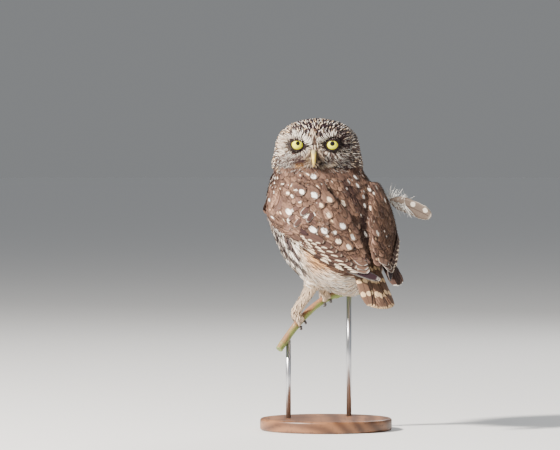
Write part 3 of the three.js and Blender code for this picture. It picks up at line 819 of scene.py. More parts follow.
def disc_colours(points, random):
    """The face: dark round the eyes, partly black rims and partly painted shade, pale cheeks, an ochre and
    black moustache.
    """
    count = len(points)
    x, z = on_face(points)
    gap = eye_distance(points)
    outer = smooth(12, 26, np.abs(x))
    coin = random.random(count)
    rays = np.minimum(*(eye_rays(points, eye) for eye in EYES.values()))
    clump = np.sin(0.8 * x + 1.7 * np.sin(0.45 * z)) * np.cos(0.7 * z + 1.3 * np.sin(0.3 * x))
    pale = 0.4 + 0.45 * (0.6 * rays + clump) + 0.2 * outer * smooth(-14, -2, z) + 0.1 * smooth(-2, 8, z)
    pale = pale - 0.3 * smooth(-6, -12, z) * smooth(-44, -26, x) - 0.14
    # Painted shade: less pale above the right eye, under the brow.
    pale = pale - 0.5 * smooth(9, 13, x) * smooth(3, 6, z)
    pale = np.clip(pale - 0.3 * smooth(-5, -14, z) * smooth(2, -6, x), 0.03, 0.95)
    # Painted shade: the right half of the face is less pale.
    pale *= 1 - 0.35 * smooth(0, 12, x)
    browns = varied(BROWN, random, count, 0.25)
    whites = varied(mix(WHITE, CREAM, 0.55 + 0.45 * random.random(count)), random, count, 0.1)
    ground = mix(browns, whites, coin < pale)
    # Painted shade: the share of sooty feathers grows toward the right half.
    ground = layer(ground, random, SOOT, (coin > 0.76 - 0.06 * smooth(0, 12, x)) * 0.85, 0.25)
    ground = layer(ground, random, DARK_BROWN, smooth(-11, -20, z) * 0.5, 0.3)
    temple = smooth(-24, -31, x) * smooth(-10, 0, z)
    ground = layer(ground, random, mix(CREAM, GREY_BROWN, 0.35), 0.6 * temple, 0.2)
    # Painted shadow: a dark band beside the right eye's outer corner.
    band = blob((z, 0.5, 3.2)) * smooth(24, 27, x) * smooth(46, 38, x)
    ground = layer(ground, random, DARK_BROWN, 0.7 * band, 0.2)
    shadow_side = (0.45 + 0.55 * (x > 0)) * blob((gap, 11, 3.5)) * smooth(0, 6, np.abs(x) - 17)
    shadow_side = shadow_side * smooth(-6, 0, z)
    ground = layer(ground, random, DARK_BROWN, 0.6 * shadow_side, 0.2)
    # Brown plumage under the left cheek, painted darker as the shade under the cheek.
    brown_and_shade_patch = blob((x, -12, 7), (z, -15, 5))
    ground = layer(ground, random, DARK_BROWN * 1.3, brown_and_shade_patch * 0.85, 0.4)
    ochre = blob((x, -12, 5), (z, -20, 2.6))
    ground = layer(ground, random, OCHRE, ochre * 0.85, 0.35)
    line = z + 20.5 - 0.3 * (x - 10)
    pale_line = blob((line, 0, 1.7)) * smooth(3, 6, x) * smooth(22, 17, x)
    ground = layer(ground, random, CREAM, pale_line)
    black = blob((line, -3.2, 2.0)) * smooth(2, 5, x) * smooth(25, 19, x)
    black = np.maximum(black, 0.95 * blob((x, 4.6, 2.4), (z, -15, 6)))
    black = np.maximum(black, 0.6 * blob((x, -5, 2.0), (z, -13, 4)))
    ground = layer(ground, random, SOOT, np.clip(black, 0, 1))
    bridge = blob((x, 0, 5)) * smooth(-12, -2, z)
    ground = layer(ground, random, ASH, bridge * 0.8, 0.2)
    # Black rims round the eyes, and painted shade from the brow along the line over each eye.
    near_rim = np.maximum(1 - smooth(1.4, 1.8, lid_share(points)), 0.9 * brow_shade_line(points))
    ground = layer(ground, random, SOOT, 0.95 * near_rim, 0.2)
    dark = np.clip(near_rim + 0.4 * (band + shadow_side) + 1.2 * brown_and_shade_patch + black, 0, 1)
    return ground, marks_of(count, 0, random.uniform(0.0, 0.6, count) * (1 - dark), 0, 0.15)


def brow_colours(points, random):
    count = len(points)
    white = varied(mix(WHITE, CREAM, 0.3), random, count, 0.04)
    grey = varied(ASH, random, count, 0.1)
    return mix(white, grey, 0.6 * random.random(count) ** 2), marks_of(count)


# %% [markdown]
# ## Colours of the body
# The back is brown, with painted shade along the crease between the shoulders. The breast has a brown
# band with white drops and bold streaks below it, and the flank is rusty where the wing's edge leaves it
# free.

# %% Colours of the body
CREASE = [(17, 248.5), (34, 229.4), (35, 226), (37, 197)]


def crease_gap(points):
    """Distance, seen from the front, to the crease between the two shoulders' plumage, where shade is
    painted.
    """
    flat = points[:, [0, 2]]
    best = np.full(len(points), 99.0)
    for start, end in zip(CREASE[:-1], CREASE[1:], strict=True):
        start, end = np.array(start, float), np.array(end, float)
        share = np.clip((flat - start) @ (end - start) / np.sum((end - start) ** 2), 0, 1)
        best = np.minimum(best, np.linalg.norm(flat - start - share[:, None] * (end - start), axis=1))
    return np.where(points[:, 1] < 20, best, 99.0)


def back_colours(points, random):
    count = len(points)
    high = smooth(225, 255, points[:, 2])
    ground = varied(mix(BROWN * 1.05, WARM_BROWN * 1.35, random.random(count)), random, count, 0.32)
    # Painted shade: darker along the crease between the shoulders.
    ground = layer(ground, random, DARK_BROWN, 0.7 * smooth(7, 1.5, crease_gap(points)))
    # Painted shadow: soot under the ruffled coverts at the bend of the left wing.
    under = blob((points[:, 0], -23, 7), (points[:, 2], 199, 4.5)) * (points[:, 1] < 0)
    ground = layer(ground, random, SOOT, 0.9 * np.minimum(1.4 * under, 1))
    shoulder = blob((points[:, 0], -60, 12), (points[:, 2], 246, 14)) * (points[:, 1] < 20)
    ground = layer(ground, random, DARK_BROWN, 0.45 * shoulder)
    size = np.where(random.random(count) < 0.09 + 0.2 * high, random.uniform(0.35, 0.8, count), 0.0)
    return ground, marks_of(count, size, 0.0, -0.28 * random.random(count) ** 2, random.random(count))


def flank_warmth(points):
    """1 in the buff patch between the left wing's edge and the thigh, 0 away from it."""
    warm = blob((points[:, 0], -9, 13), (points[:, 2], 178, 14))
    return np.minimum(1.7 * warm, 1) * (dot(points, RIGHT) < 0) * (points[:, 1] < 0)


def breast_colours(points, random):
    """Brown band with white drops on the upper breast; below it bold brown streaks on cream."""
    count = len(points)
    z = points[:, 2]
    throat = smooth(250, 258, z) * smooth(34, 24, np.abs(dot(points, RIGHT)))
    band = smooth(216, 236, z) * (1 - throat)
    low = smooth(188, 160, z)
    across_lie = 0.825 * points[:, 0] + 0.566 * z
    in_row = np.sin(across_lie * 2 * math.pi / 7.5 + 1.5 * np.sin(z / 9)) > 0.2
    bold = in_row * (points[:, 1] < 12) * smooth(224, 212, z)
    ground = varied(mix(CREAM, WHITE, 0.4 + 0.6 * random.random(count)), random, count, 0.05)
    warm = flank_warmth(points)
    ground = layer(ground, random, RUSTY_CREAM, 0.9 * warm, 0.2)
    ground = layer(ground, random, BROWN, band)
    browns = varied(WARM_BROWN, random, count, 0.1)
    ground = mix(ground, browns, 0.75 * (random.random(count) < 0.22 * (1 - 0.6 * low)))
    ground = layer(ground, random, BROWN * 0.8, 0.9 * bold * (1 - 0.6 * warm) * (1 - band), 0.2)
    streak = random.uniform(0.7, 1.2, count) * (1 - 0.35 * low) * (1 - band) * (random.random(count) < 0.8)
    spot = np.where(band > 0.5, random.uniform(0.5, 0.85, count), 0)
    return ground, marks_of(count, spot, -streak, 0, 0.2)


def warm_down(points, random):
    """Cream and white down, rusty in the flank's warm patch, and how warm each place is."""
    count = len(points)
    warm = flank_warmth(points)
    ground = mix(varied(CREAM, random, count, 0.1), varied(WHITE, random, count, 0.05), random.random(count))
    return mix(ground, varied(RUSTY_CREAM, random, count, 0.2), 0.9 * warm), warm


def vent_colours(points, random):
    """White down, with buff and some brown locks behind the thigh."""
    count = len(points)
    ground, warm = warm_down(points, random)
    brown_lock = random.random(count) < 0.06 + 0.4 * warm
    return mix(ground, varied(WARM_BROWN, random, count, 0.15), 0.75 * brown_lock), marks_of(count)


def flank_colours(points, random):
    """Cream and buff plumes with brown streaks, which lie over the folded wing's lower edge."""
    count = len(points)
    ground, warm = warm_down(points, random)
    browns = varied(WARM_BROWN, random, count, 0.15)
    ground = mix(ground, browns, 0.8 * (random.random(count) < 0.15 + 0.25 * warm))
    return ground, marks_of(count, 0, np.where(random.random(count) < 0.35, -0.5, 0.0), 0, 0.2)


def leg_colours(points, random):
    """Cream down flecked with brown, greyer and darker toward the toes."""
    count = len(points)
    low = smooth(122, 100, points[:, 2]) * (points[:, 0] < -20)
    ground = varied(mix(CREAM * 0.92, GREY_BROWN * 1.2, 0.45 * low), random, count, 0.2)
    browns = varied(BROWN, random, count, 0.2)
    return mix(ground, browns, random.random(count) < 0.12 + 0.2 * low), marks_of(count)


def toe_colours(points, random):
    return varied(mix(ASH, GREY_BROWN, 0.5), random, len(points), 0.2), marks_of(len(points))


# %% [markdown]
# ## The head's coat
# The crown's feathers are small and narrow with a pale streak, those of the face are finer still, like
# bristles, and stand round the eyes like spokes. The brows are two rows of longer white plumes.

# %% Crown and face
fine = {"shape": LOCK_OUTLINE, "across": 3, "tip": 0.15}
grow("coat_crown", *scatter(is_crown, 2.3, 11), 7.0, 2.8, crown_colours, lift=(0.1, 0.95), rows=4, across=3,
     turn=0.16, patch=0.0045, seed=12)
disc_roots, disc_faces = scatter(is_disc, 1.1, 13)
disc_lengths = 1.9 + 2.9 * smooth(5.5, 10.5, eye_distance(disc_roots))
grow("coat_face", disc_roots, disc_faces, disc_lengths, 1.1, disc_colours, lift=(0.1, 1.0), rows=4, turn=0.2,
     seed=14, **fine)
brow_half = np.where(face_x < 0, 1.7, 0.7)
on_brow = is_head & front & (np.abs(face_z - brow_height(face_x) - 0.6) < brow_half) & (np.abs(face_x) < 21)
on_brow &= np.abs(face_x) > 3.5
grow("coat_brows", *scatter(on_brow, 1.0, 15), 6.0, 0.9, brow_colours, lift=(0.4, 1.8), rows=4, turn=0.2,
     seed=16, **fine)

# %% [markdown]
# ## The parting on the forehead
# The small feathers of the face run away from the bill to both sides. Along the middle line that would
# leave a bare parting, so one more row of narrow tufts grows straight up over it.

# %% The parting on the forehead
def forehead_colours(points, random):
    count = len(points)
    pale = varied(mix(ASH, CREAM, random.random(count)), random, count, 0.15)
    return mix(pale, varied(BROWN, random, count, 0.2), random.random(count) < 0.35), marks_of(count)


on_parting = is_head & front & (np.abs(face_x) < 1.8) & (face_z > -6) & (face_z < 12)
grow("coat_forehead", *scatter(on_parting, 0.9, 61), 5.0, 1.1, forehead_colours, lift=(0.7, 2.2), rows=4,
     turn=0.25, seed=62, **fine)

# %% [markdown]
# ## Bristles
# Fine stiff bristles hide the root of the bill. Those that grow behind it reach further out than those
# beside it, so seen from the side nothing shows between the bill and the face.

# %% Bristles round the bill
def bristle_colours(points, random):
    count = len(points)
    x, z = on_face(points)
    greys = varied(GREY_BROWN, random, count, 0.2)
    ground = mix(greys, varied(CREAM, random, count, 0.15), random.random(count) ** 2)
    dark = smooth(1.5, 3.5, x) * smooth(-8, -13, z)
    return mix(ground, varied(SOOT, random, count, 0.3), 0.85 * dark), marks_of(count)


bristle_half = 6.5 - 0.25 * np.maximum(-12 - face_z, 0)
bristle_area = is_head & front & (np.abs(face_x) < bristle_half) & (face_z < -4.5) & (face_z > -21)
bristle_roots, bristle_faces = scatter(bristle_area, 0.8, 57)
over_bill = np.abs(on_face(bristle_roots)[0]) < 2.6
bristle_reach = np.stack([0.8 + 1.5 * over_bill, 6.0 + 2.4 * over_bill], 1)
grow("coat_bristles", bristle_roots, bristle_faces, 7.5, 0.65, bristle_colours, lift=bristle_reach, rows=5,
     turn=0.25, seed=58, **fine)

# %% [markdown]
# ## Long feathers
# A quill's middle line is straight in the wing's two numbers, so it follows the wing's surface by
# itself. Its flat side faces away from the body. Rows of quills, coverts and the tail are all built
# by the same function, which needs only their middle lines.

# %% Long feathers as straight lines on the wing
def quill_lines(side, t, turn, out, rows):
    """Middle lines, normals and directions of long feathers; t, turn and out hold root and tip values."""
    share = np.linspace(0, 0.98, rows)
    along = [np.array(v)[:, :1] + (np.array(v)[:, 1:] - np.array(v)[:, :1]) * share for v in (t, turn, out)]
    middle = wing_point(side, *along)
    ways = unit(np.gradient(middle, axis=1))
    t, turn, out = along
    across = wing_point(side, t, turn + 1.5, out) - wing_point(side, t, turn - 1.5, out)
    normals = unit(np.cross(ways, across) * (-1 if side == "left" else 1))
    return middle, normals, ways


def quill_mesh(name, lines, widths, marks, ground, seed, thickness=0.22, camber=0.06, across=7,
               shape=QUILL_OUTLINE, patch=0.012):
    """Long feathers from their middle lines, as one coat piece."""
    middle = lines[0]
    random = np.random.default_rng(seed)
    count, rows = middle.shape[:2]
    shares, halves = outline(shape, rows)
    ragged = 1 + random.normal(0, 0.025, (count, rows))
    lengths = np.linalg.norm(middle[:, -1] - middle[:, 0], axis=1)
    half_widths = halves * ragged * np.array(widths)[:, None] / 2
    parts = vanes(lines, shares[None], half_widths, np.zeros((count, 2)), camber, thickness, across,
                  root=0.5, tip=lengths * 0.02)
    faces = settle(middle[:, 0])[2]
    keep(feather_mesh(name, parts, face_places[faces], patch, ground, marks), name, count)


# %% [markdown]
# ## Placed spots
# The large white spots on the shoulders and wings are what the eye remembers of this bird, so they
# are listed one by one. Each is given by where it is seen from the front, across and up, with its size;
# a ray through that place finds the skin, and a feather is rooted a little way up the lie from it.

# %% Feathers with large spots
SPOTS = [(-12, 234, 9, 0), (-13, 200, 10, 0), (-2, 198.5, 8, 0), (7.6, 197.3, 5, 0.2),
         (15.5, 203.4, 8, 0), (26, 192.5, 7, 0.1), (3, 229.4, 7, 0.6), (17, 226.4, 7, 0.5),
         (-24, 237, 6.5, 0.1), (-30, 241, 6, 0.2), (-35.4, 244, 5, 0.3), (-41.5, 246, 5, 0.3),
         (-12.4, 253, 7, 0), (-3.3, 244, 6, 0.3), (-48, 231, 7, 0), (-47, 221, 8, 0),
         (50, 196, 6, 0.3), (42, 197, 6, 0.2), (28, 253, 5.5, 0), (31, 244, 5, 0), (37, 233, 4, 0),
         (38, 224, 4, 0.1), (-37, 236, 4, 0.4), (-33, 233, 4.5, 0.3), (-55, 233, 5, 0),
         (-56, 222, 7, 0), (-36, 218, 9, 0.1), (-20, 214, 7, 0.2), (2, 214, 6, 0.6),
         (-5, 224, 5, 0.7), (44, 240, 6, 0.2), (50, 243, 5, 0.3), (57, 229, 6, 0.2),
         (46, 222, 6, 0.5), (-26, 228, 4, 0.2), (36, 178, 7, 0.2), (22, 182, 6, 0.4),
         (12, 188, 6, 0.5)]


def seen_on_skin(x, z):
    """The skin point seen at a place of the picture plane y = 0."""
    way = Vector(np.array([x, 0.0, z]) - VIEWER).normalized()
    return skin_tree.ray_cast(Vector(VIEWER), way)[0]


ROOT_BEFORE_SPOT, WHOLE_SPOT = 5.3, 0.92
spot_marks, spot_roots, spot_sizes, spot_centres = [], [], [], []
for x, z, size, warm in SPOTS:
    seen = np.array([seen_on_skin(x, z)])
    spot_at, spot_normal, spot_face = settle(seen)
    way = along_skin(flow_at(spot_at, face_labels[spot_face]), spot_normal)
    spot_roots.append((spot_at - way * (ROOT_BEFORE_SPOT + size))[0])
    spot_sizes.append(size)
    spot_centres.append(spot_at[0])
    spot_marks.append((WHOLE_SPOT, 0.0, 0.1, warm))
spot_roots, _, spot_faces = settle(np.array(spot_roots))
spot_sizes = np.array(spot_sizes, float)
spot_centres = np.array(spot_centres)
on_wing = np.char.startswith(face_labels[spot_faces], "wing")[:, None]
at_outline = spot_roots[:, :1] < -50
spot_lift = (np.array([0.6, 1.4]) + on_wing * np.array([0.9, 1.0])) * (1 - 0.8 * at_outline)
grow("coat_spotted", spot_roots, spot_faces, 7 + spot_sizes * 1.35, 2 + spot_sizes * 1.75, back_colours,
     lift=spot_lift, turn=0.02, seed=52, patch=0.012, even=0.0, rows=9, across=7, given=np.array(spot_marks))

# %% [markdown]
# ## Ruffled coverts
# At the bend of the left wing a few coverts are out of order and stand up, with a dark gap under
# them. Six feathers are given one by one from root to tip as seen from the front, and arched.

# %% Ruffled coverts at the bend of the left wing
RUFFLED = [((-16, 229), (-33, 218), 6.0), ((-13, 226), (-24, 214), 6.5), ((-18, 223), (-37, 209), 5.5),
           ((-10, 222), (-18, 207), 5.5), ((-20, 216), (-30, 203), 5.5), ((-33, 205), (-17, 195), 4.6)]
count = len(RUFFLED)
ruffle_ends = np.array([[seen_on_skin(*root), seen_on_skin(*tip)] for root, tip, _ in RUFFLED])
share = np.linspace(0, 0.96, 9)[None, :, None]
ruffle_middles = ruffle_ends[:, :1] * (1 - share) + ruffle_ends[:, 1:] * share
_, ruffle_normals, _ = settle(ruffle_middles.reshape(-1, 3))
ruffle_normals = ruffle_normals.reshape(ruffle_middles.shape)
ruffle_middles = ruffle_middles + ruffle_normals * (0.1 + 3.4 * np.sin(share * 1.8))
random = np.random.default_rng(53)
ruffle_ways = unit(np.gradient(ruffle_middles, axis=1))
ruffle_ground = varied(mix(BROWN, DARK_BROWN, 0.5 * random.random(count)), random, count, 0.2)
# The sixth feather is a dark sheet in the gap under the others: painted shade.
ruffle_ground[-1] = mix(DARK_BROWN, BROWN, 0.25)
ruffle_marks = marks_of(count, 0, 0.0, [0.7, -0.8, 0.8, -0.8, -0.8, 0], 0.1)
quill_mesh("coat_ruffled", (ruffle_middles, ruffle_normals, ruffle_ways), [wide for _, _, wide in RUFFLED],
           ruffle_marks, ruffle_ground, 54, thickness=0.1, camber=0.15, shape=VANE_OUTLINE)

# %% [markdown]
# ## Loose barbs
# The edges of soft feathers fray, so back and wings look furry and not tiled. Thin tufts between the
# roots give that look. They keep clear of the white spots.

# %% Loose barbs over the shoulders
def fringe_colours(points, random):
    count = len(points)
    browns = varied(BROWN, random, count, 0.25)
    ground = mix(browns, varied(WARM_BROWN * 1.35, random, count, 0.2), random.random(count))
    ground = mix(ground, varied(DARK_BROWN, random, count), 0.6 * (random.random(count) < 0.15))
    # Painted shade: darker along the crease between the shoulders, as on the back.
    ground = layer(ground, random, DARK_BROWN, 0.7 * smooth(6, 1.5, crease_gap(points)))
    return ground, marks_of(count)


wing_top = np.char.startswith(face_labels, "wing") & (dot(face_normals, UP) > -0.35)
fringe_roots, fringe_faces = scatter(is_back | wing_top, 1.75, 55)
to_spots = np.min(np.linalg.norm(fringe_roots[:, None] - spot_centres[None], axis=2) - spot_sizes / 2, axis=1)
fringe_roots, fringe_faces = fringe_roots[to_spots > 0.5], fringe_faces[to_spots > 0.5]
on_wing = np.char.startswith(face_labels[fringe_faces], "wing")[:, None]
fringe_lift = np.array([0.5, 1.7]) + on_wing * np.array([0.8, 1.1])
grow("coat_fringe", fringe_roots, fringe_faces, 7.0, 0.75, fringe_colours, lift=fringe_lift, rows=4,
     turn=0.22, seed=56, **fine)

# %% [markdown]
# ## Back, breast, legs and toes
# These kinds need nothing special: roots at their own spacing, and a length, width and lift. The
# back's roots keep clear of the spotted feathers. The vent is loose down, the toes nearly bare.

# %% Back, breast, vent, legs and toes
grow("coat_back", *scatter(is_back, 4.7, 21, spot_roots.tolist()), 14, 8.0, back_colours, lift=(0.2, 1.2),
     seed=22, patch=0.010)
grow("coat_breast", *scatter(is_breast, 3.7, 23), 12.5, 5.0, breast_colours, lift=(0.2, 1.9), seed=24,
     patch=0.008, turn=0.16)
grow("coat_vent", *scatter(is_vent, 1.7, 25), 11, 1.3, vent_colours, lift=(0.3, 2.8), rows=5, thickness=0.3,
     turn=0.26, seed=26, **fine)
grow("coat_legs", *scatter(is_leg, 1.2, 31), 5.2, 1.0, leg_colours, lift=(0.1, 1.3), rows=4, turn=0.26,
     seed=32, **fine)
grow("coat_toes", *scatter(is_foot, 1.3, 33), 2.6, 0.55, toe_colours, lift=(0.05, 0.5), rows=3, turn=0.4,
     seed=34, **fine)

# %% [markdown]
# ## Wings
# The small coverts are scattered like the back's feathers, but only above the line where the long
# feathers show. Below it come three rows: greater coverts, secondaries and primaries. Each long
# feather is a straight line on the wing's surface, and each row lies over the one below it.

# %% Rows of long feathers
SHOWN_EDGE = [98, 103, 73, 48, 38, 36, 34]


def low_turn(t):
    """The lower edge of what shows of the wing; the flank's feathers cover the rest."""
    return through(SHOWN_EDGE, t)


def quill_row(name, side, tips, t_root, gap, out, width, marks, colour, seed):
    """A row of long feathers. gap: degrees from the lower edge at the root, at the tip, and per feather."""
    random = np.random.default_rng(seed)
    count = len(tips)
    number = np.arange(count)
    tips = np.array(tips) + random.normal(0, 0.03, count)
    turn_root = low_turn(t_root) - gap[0] - gap[2] * number
    turn_tip = low_turn(tips) - gap[1] - gap[2] * number * low_turn(tips) / 60
    turn_tip = np.maximum(turn_tip, 3) + random.normal(0, 0.5, count)
    raised = np.array(out)[None] + 0.16 * number[:, None] * np.array([0.5, 1.6])
    lines = quill_lines(side, np.stack([np.full(count, t_root), tips], 1),
                        np.stack([np.maximum(turn_root, 4), turn_tip], 1), raised, 20)
    ground = varied(colour, random, count, 0.07)
    quill_mesh(f"coat_{name}_{side}", lines, np.full(count, width), marks_of(count, *marks), ground, seed)


BODY_LEFT = -60.5
COVERT_LENGTH = 13.5


def wing_coverts(side, faces, spacing, seed):
    """Small feathers on the wing, straight lines on its own surface."""
    random = np.random.default_rng(seed)
    roots, _ = scatter(faces, spacing, seed, spot_roots)
    t, turn = wing_places(roots, side)
    count = len(roots)
    step = np.linalg.norm(wing_point(side, t + 0.1, turn) - wing_point(side, t - 0.1, turn), axis=1) / 0.2
    lengths = COVERT_LENGTH * random.uniform(0.88, 1.12, count)
    t_end = t + lengths / step
    turn_end = turn * low_turn(t_end) / low_turn(t) + random.normal(0, 1.2, count)
    raised = np.stack([np.full(count, -1.1), random.uniform(0.0, 0.35, count)], 1)
    lines = quill_lines(side, np.stack([t, t_end], 1), np.stack([turn, turn_end], 1), raised, 7)
    ground, marks = back_colours(roots, random)
    widths = random.uniform(7.4, 9.0, count)
    lies_flat = lines[0][..., 0].min(1) > BODY_LEFT
    lines = tuple(part[lies_flat] for part in lines)
    quill_mesh(f"coat_coverts_{side}", lines, widths[lies_flat], marks[lies_flat], ground[lies_flat],
               seed + 1, thickness=0.1, camber=0.1, across=5, shape=VANE_OUTLINE, patch=0.010)


for side, web, seed in (("left", 1, 41), ("right", -1, 45)):
    quill_row("primaries", side, [4.75, 5.35, 5.8, 6.08, 6.2, 6.1], 2.6, (2, 1.5, 1.8), (-2.2, -1.6), 8.5,
              (0, 0, -0.4, 0.1), DARK_BROWN, seed + 10)
    quill_row("secondaries", side, [5.05, 4.85, 4.6], 2.0, (2.5, 4.5, 3.2), (-1.9, 0.0), 10.0,
              (web, 0, 0.5, 0.55), BROWN * 0.6, seed + 20)
    quill_row("tertials", side, [5.25, 4.95, 4.6], 3.0, (15, 14, 9), (-1.8, 0.3), 13.0,
              (0, 0, -0.7, 0.1), mix(BROWN, WARM_BROWN, 0.5), seed + 30)
    quill_row("greater_coverts", side, [4.35, 4.0, 3.65, 3.3, 3.0, 2.7], 1.6, (4, 8, 1.3), (-1.9, 0.9), 9.0,
              (web, 0, 0.25, 0.6), BROWN * 0.9, seed + 40)
    wing_faces = np.flatnonzero(face_labels == f"wing_{side}")
    t, turn = wing_places(face_middles[wing_faces], side)
    from_cut = dot(face_middles[wing_faces] - WING_FLESH_END, unit(WING_FLESH_CUT))
    cut_end = (dot(face_normals[wing_faces], unit(WING_FLESH_CUT)) > 0.6) & (from_cut > -4)
    shown = (turn < low_turn(t) + 2 - 12 * smooth(1.7, 2.6, t)) & ~cut_end & (t < 4.7)
    outward = dot(face_normals[wing_faces], RIGHT) * web < 0.35
    wing_coverts(side, wing_faces[shown & outward], 4.5, seed)
    under_edge = (turn > low_turn(t) - 3) & (t > 1.9) & outward & ~cut_end
    grow(f"coat_flank_{side}", *scatter(wing_faces[under_edge], 2.6, seed + 5), 11, 4.0, flank_colours,
         lift=(0.2, 1.5), seed=seed + 6, patch=0.007, turn=0.2)
    edge_faces = wing_faces[~(shown & outward) & (t < 3.0) & ~under_edge]
    grow(f"coat_wing_edge_{side}", *scatter(edge_faces, 2.9, seed + 3), 8, 4.2, back_colours, lift=(0.1, 1.0),
         seed=seed + 4, patch=0.007, rows=5)

# %% [markdown]
# ## The dropped wing tip
# The right wing's tip hangs beside the tail. Its four primaries leave the wing together and spread a
# little toward their tips.

# %% The right wing's dropped primaries
splay = np.linspace(-1, 1, 4)[:, None, None]
share = np.linspace(0, 0.98, 20)[None, :, None]
splay_start, splay_end = place(-50, 176, 30), place(-86, 145.5, 22.5)
splay_across = unit(0.93 * RIGHT + 0.36 * UP)
splay_lines = (splay_start + (splay_end - splay_start) * share * (1 - 0.05 * np.abs(splay))
               + splay_across * splay * (2.2 + 2.0 * share))
splay_ways = unit(np.gradient(splay_lines, axis=1))
splay_normals = unit(np.cross(splay_ways, splay_across)) * -1.0
splay_lines = splay_lines + splay_normals * splay * 0.5
quill_mesh("coat_dropped_primaries", (splay_lines, splay_normals, splay_ways), np.full(4, 9.5),
           marks_of(4, 0, 0, 0.8, 0.1), varied(BROWN, np.random.default_rng(47), 4, 0.1), 48)

# %% [markdown]
# ## Tail
# Twelve quills fan out from under the rump, the middle pair on top, with pale bars across them. The
# tail bends down behind the rump, so its middle line is a curve with three places.

# %% Tail
TAIL_COUNT, TAIL_WIDE = 12, 13.0
TAIL_LINE = [(-56, 181), (-65, 160), (-91.5, 122.5)]


def bent(start, bend, end, share):
    """A curve from start to end that leans toward a third place."""
    return start * (1 - share) ** 2 + 2 * bend * share * (1 - share) + end * share**2


def tail_lines(rows=24):
    i = np.arange(TAIL_COUNT) - (TAIL_COUNT - 1) / 2
    order = np.abs(i)
    share = np.linspace(0, 0.98, rows)[None]
    start, bend, end = TAIL_LINE
    s = bent(start[0], bend[0], end[0] + 0.12 * order[:, None] ** 2, share)
    z = bent(start[1], bend[1], end[1] + 0.14 * order[:, None] ** 2, share)
    q = i[:, None] * (1.7 + 1.0 * share)
    middle = place(s, z, q)
    down = unit(-0.66 * AHEAD + 0.75 * UP)
    normals = unit(down + 0.06 * i[:, None, None] * RIGHT + np.zeros((TAIL_COUNT, rows, 3)))
    middle = middle + normals * (1.2 - 0.32 * order)[:, None, None]
    return middle, normals, unit(np.gradient(middle, axis=1))


random = np.random.default_rng(61)
quill_mesh("coat_tail", tail_lines(), np.full(TAIL_COUNT, TAIL_WIDE), marks_of(TAIL_COUNT, 3, 0, 0.7, 0.9),
           varied(WARM_BROWN * 0.9, random, TAIL_COUNT, 0.05), 62)
tail = coat.pop("coat_tail")

# %% [markdown]
# ## The loose feather
# One moulted feather stands off the right wing. It is a single wide vane with large pale bars on one
# side of its shaft, and white down round its foot.

# %% Loose feather
LOOSE_PATTERN = -2
LOOSE_ROOT, LOOSE_TIP = np.array([64.5, 16.0, 229.5]), np.array([105.6, 19.0, 212.4])
share = np.linspace(0, 0.98, 26)[:, None]
loose_arch = np.sin(share * math.pi) * np.array([0, 0, 1.6])
loose_line = (LOOSE_ROOT + (LOOSE_TIP - LOOSE_ROOT) * share + loose_arch)[None]
loose_ways = unit(np.gradient(loose_line, axis=1))
loose_normals = unit(np.cross(loose_ways, unit(np.array([0.32, -0.5, 0.8]))))
quill_mesh("loose_vane", (loose_line, loose_normals, loose_ways), [17.0],
           marks_of(1, LOOSE_PATTERN, 0, -0.7, 0.3), varied(mix(GREY_BROWN, ASH, 0.22), random, 1), 63)
loose = coat.pop("loose_vane")


def free_tufts(name, starts, ways, lengths, width, lift, colour, seed, rows=6):
    """Tufts that stand free of the skin: from each start along its way, drooping a little."""
    random = np.random.default_rng(seed)
    count = len(starts)
    shares, halves = outline(LOCK_OUTLINE, rows)
    ways = unit(ways)
    middles = starts[:, None] + ways[:, None] * (lengths[:, None] * shares)[..., None]
    middles += lift * (shares**2 * lengths[:, None])[..., None] * random.normal(0, 0.35, (count, 1, 3))
    along = unit(np.gradient(middles, axis=1))
    normals = unit(np.cross(along, np.cross(np.array([0.1, -1.0, 0.2]), along)))
    half_widths = halves[None] * np.full((count, 1), width / 2)
    parts = vanes((middles, normals, along), shares[None], half_widths, np.zeros((count, 2)), camber=0.0,
                  thickness=0.12, across=3, root=0.2, tip=lengths * 0.12)
    faces = settle(starts)[2]
    ground = varied(colour, random, count, 0.12)
    keep(feather_mesh(name, parts, face_places[faces], 0.003, ground, marks_of(count)), name, count)


count = 110
share = random.random(count) ** 1.6 * 0.42
down_starts = LOOSE_ROOT + (LOOSE_TIP - LOOSE_ROOT) * share[:, None] + np.array([0, 0, 0.6])
fan = random.uniform(-0.2, 1.0, count)
down_ways = np.stack([-0.35 + 0.9 * fan, random.normal(0, 0.25, count), 0.55 + 0.5 * (1 - np.abs(fan))], 1)
low_side = random.random(count) < 0.35
lower = low_side.sum()
down_ways[low_side] = np.stack([random.uniform(0.1, 0.8, lower), random.normal(0, 0.25, lower),
                                random.uniform(-0.9, -0.5, lower)], 1)
free_tufts("coat_loose_down", down_starts, down_ways, random.uniform(5, 13, count), 0.6, 1.0, WHITE * 0.8, 64)


# %% [markdown]
# ## Feather material
# One node group draws every mark in the feather's own coordinates: the spot, the streak along the
# shaft, the pale tip, and the fine barbs that run out from the shaft to the edges.

# %% Node helpers
class Signal:
    """A number in a node tree. Each sign between two of them makes the math node that works it out."""

    def __init__(self, graph, socket):
        self.graph = graph
        self.socket = socket

    def __add__(self, other):
        return self.graph.math("ADD", self, other)

    def __radd__(self, other):
        return self.graph.math("ADD", other, self)

    def __sub__(self, other):
        return self.graph.math("SUBTRACT", self, other)

    def __rsub__(self, other):
        return self.graph.math("SUBTRACT", other, self)

    def __mul__(self, other):
        return self.graph.math("MULTIPLY", self, other)

    def __truediv__(self, other):
        return self.graph.math("DIVIDE", self, other)

    def __pow__(self, other):
        return self.graph.math("POWER", self, other)

    def __abs__(self):
        return self.graph.math("ABSOLUTE", self)


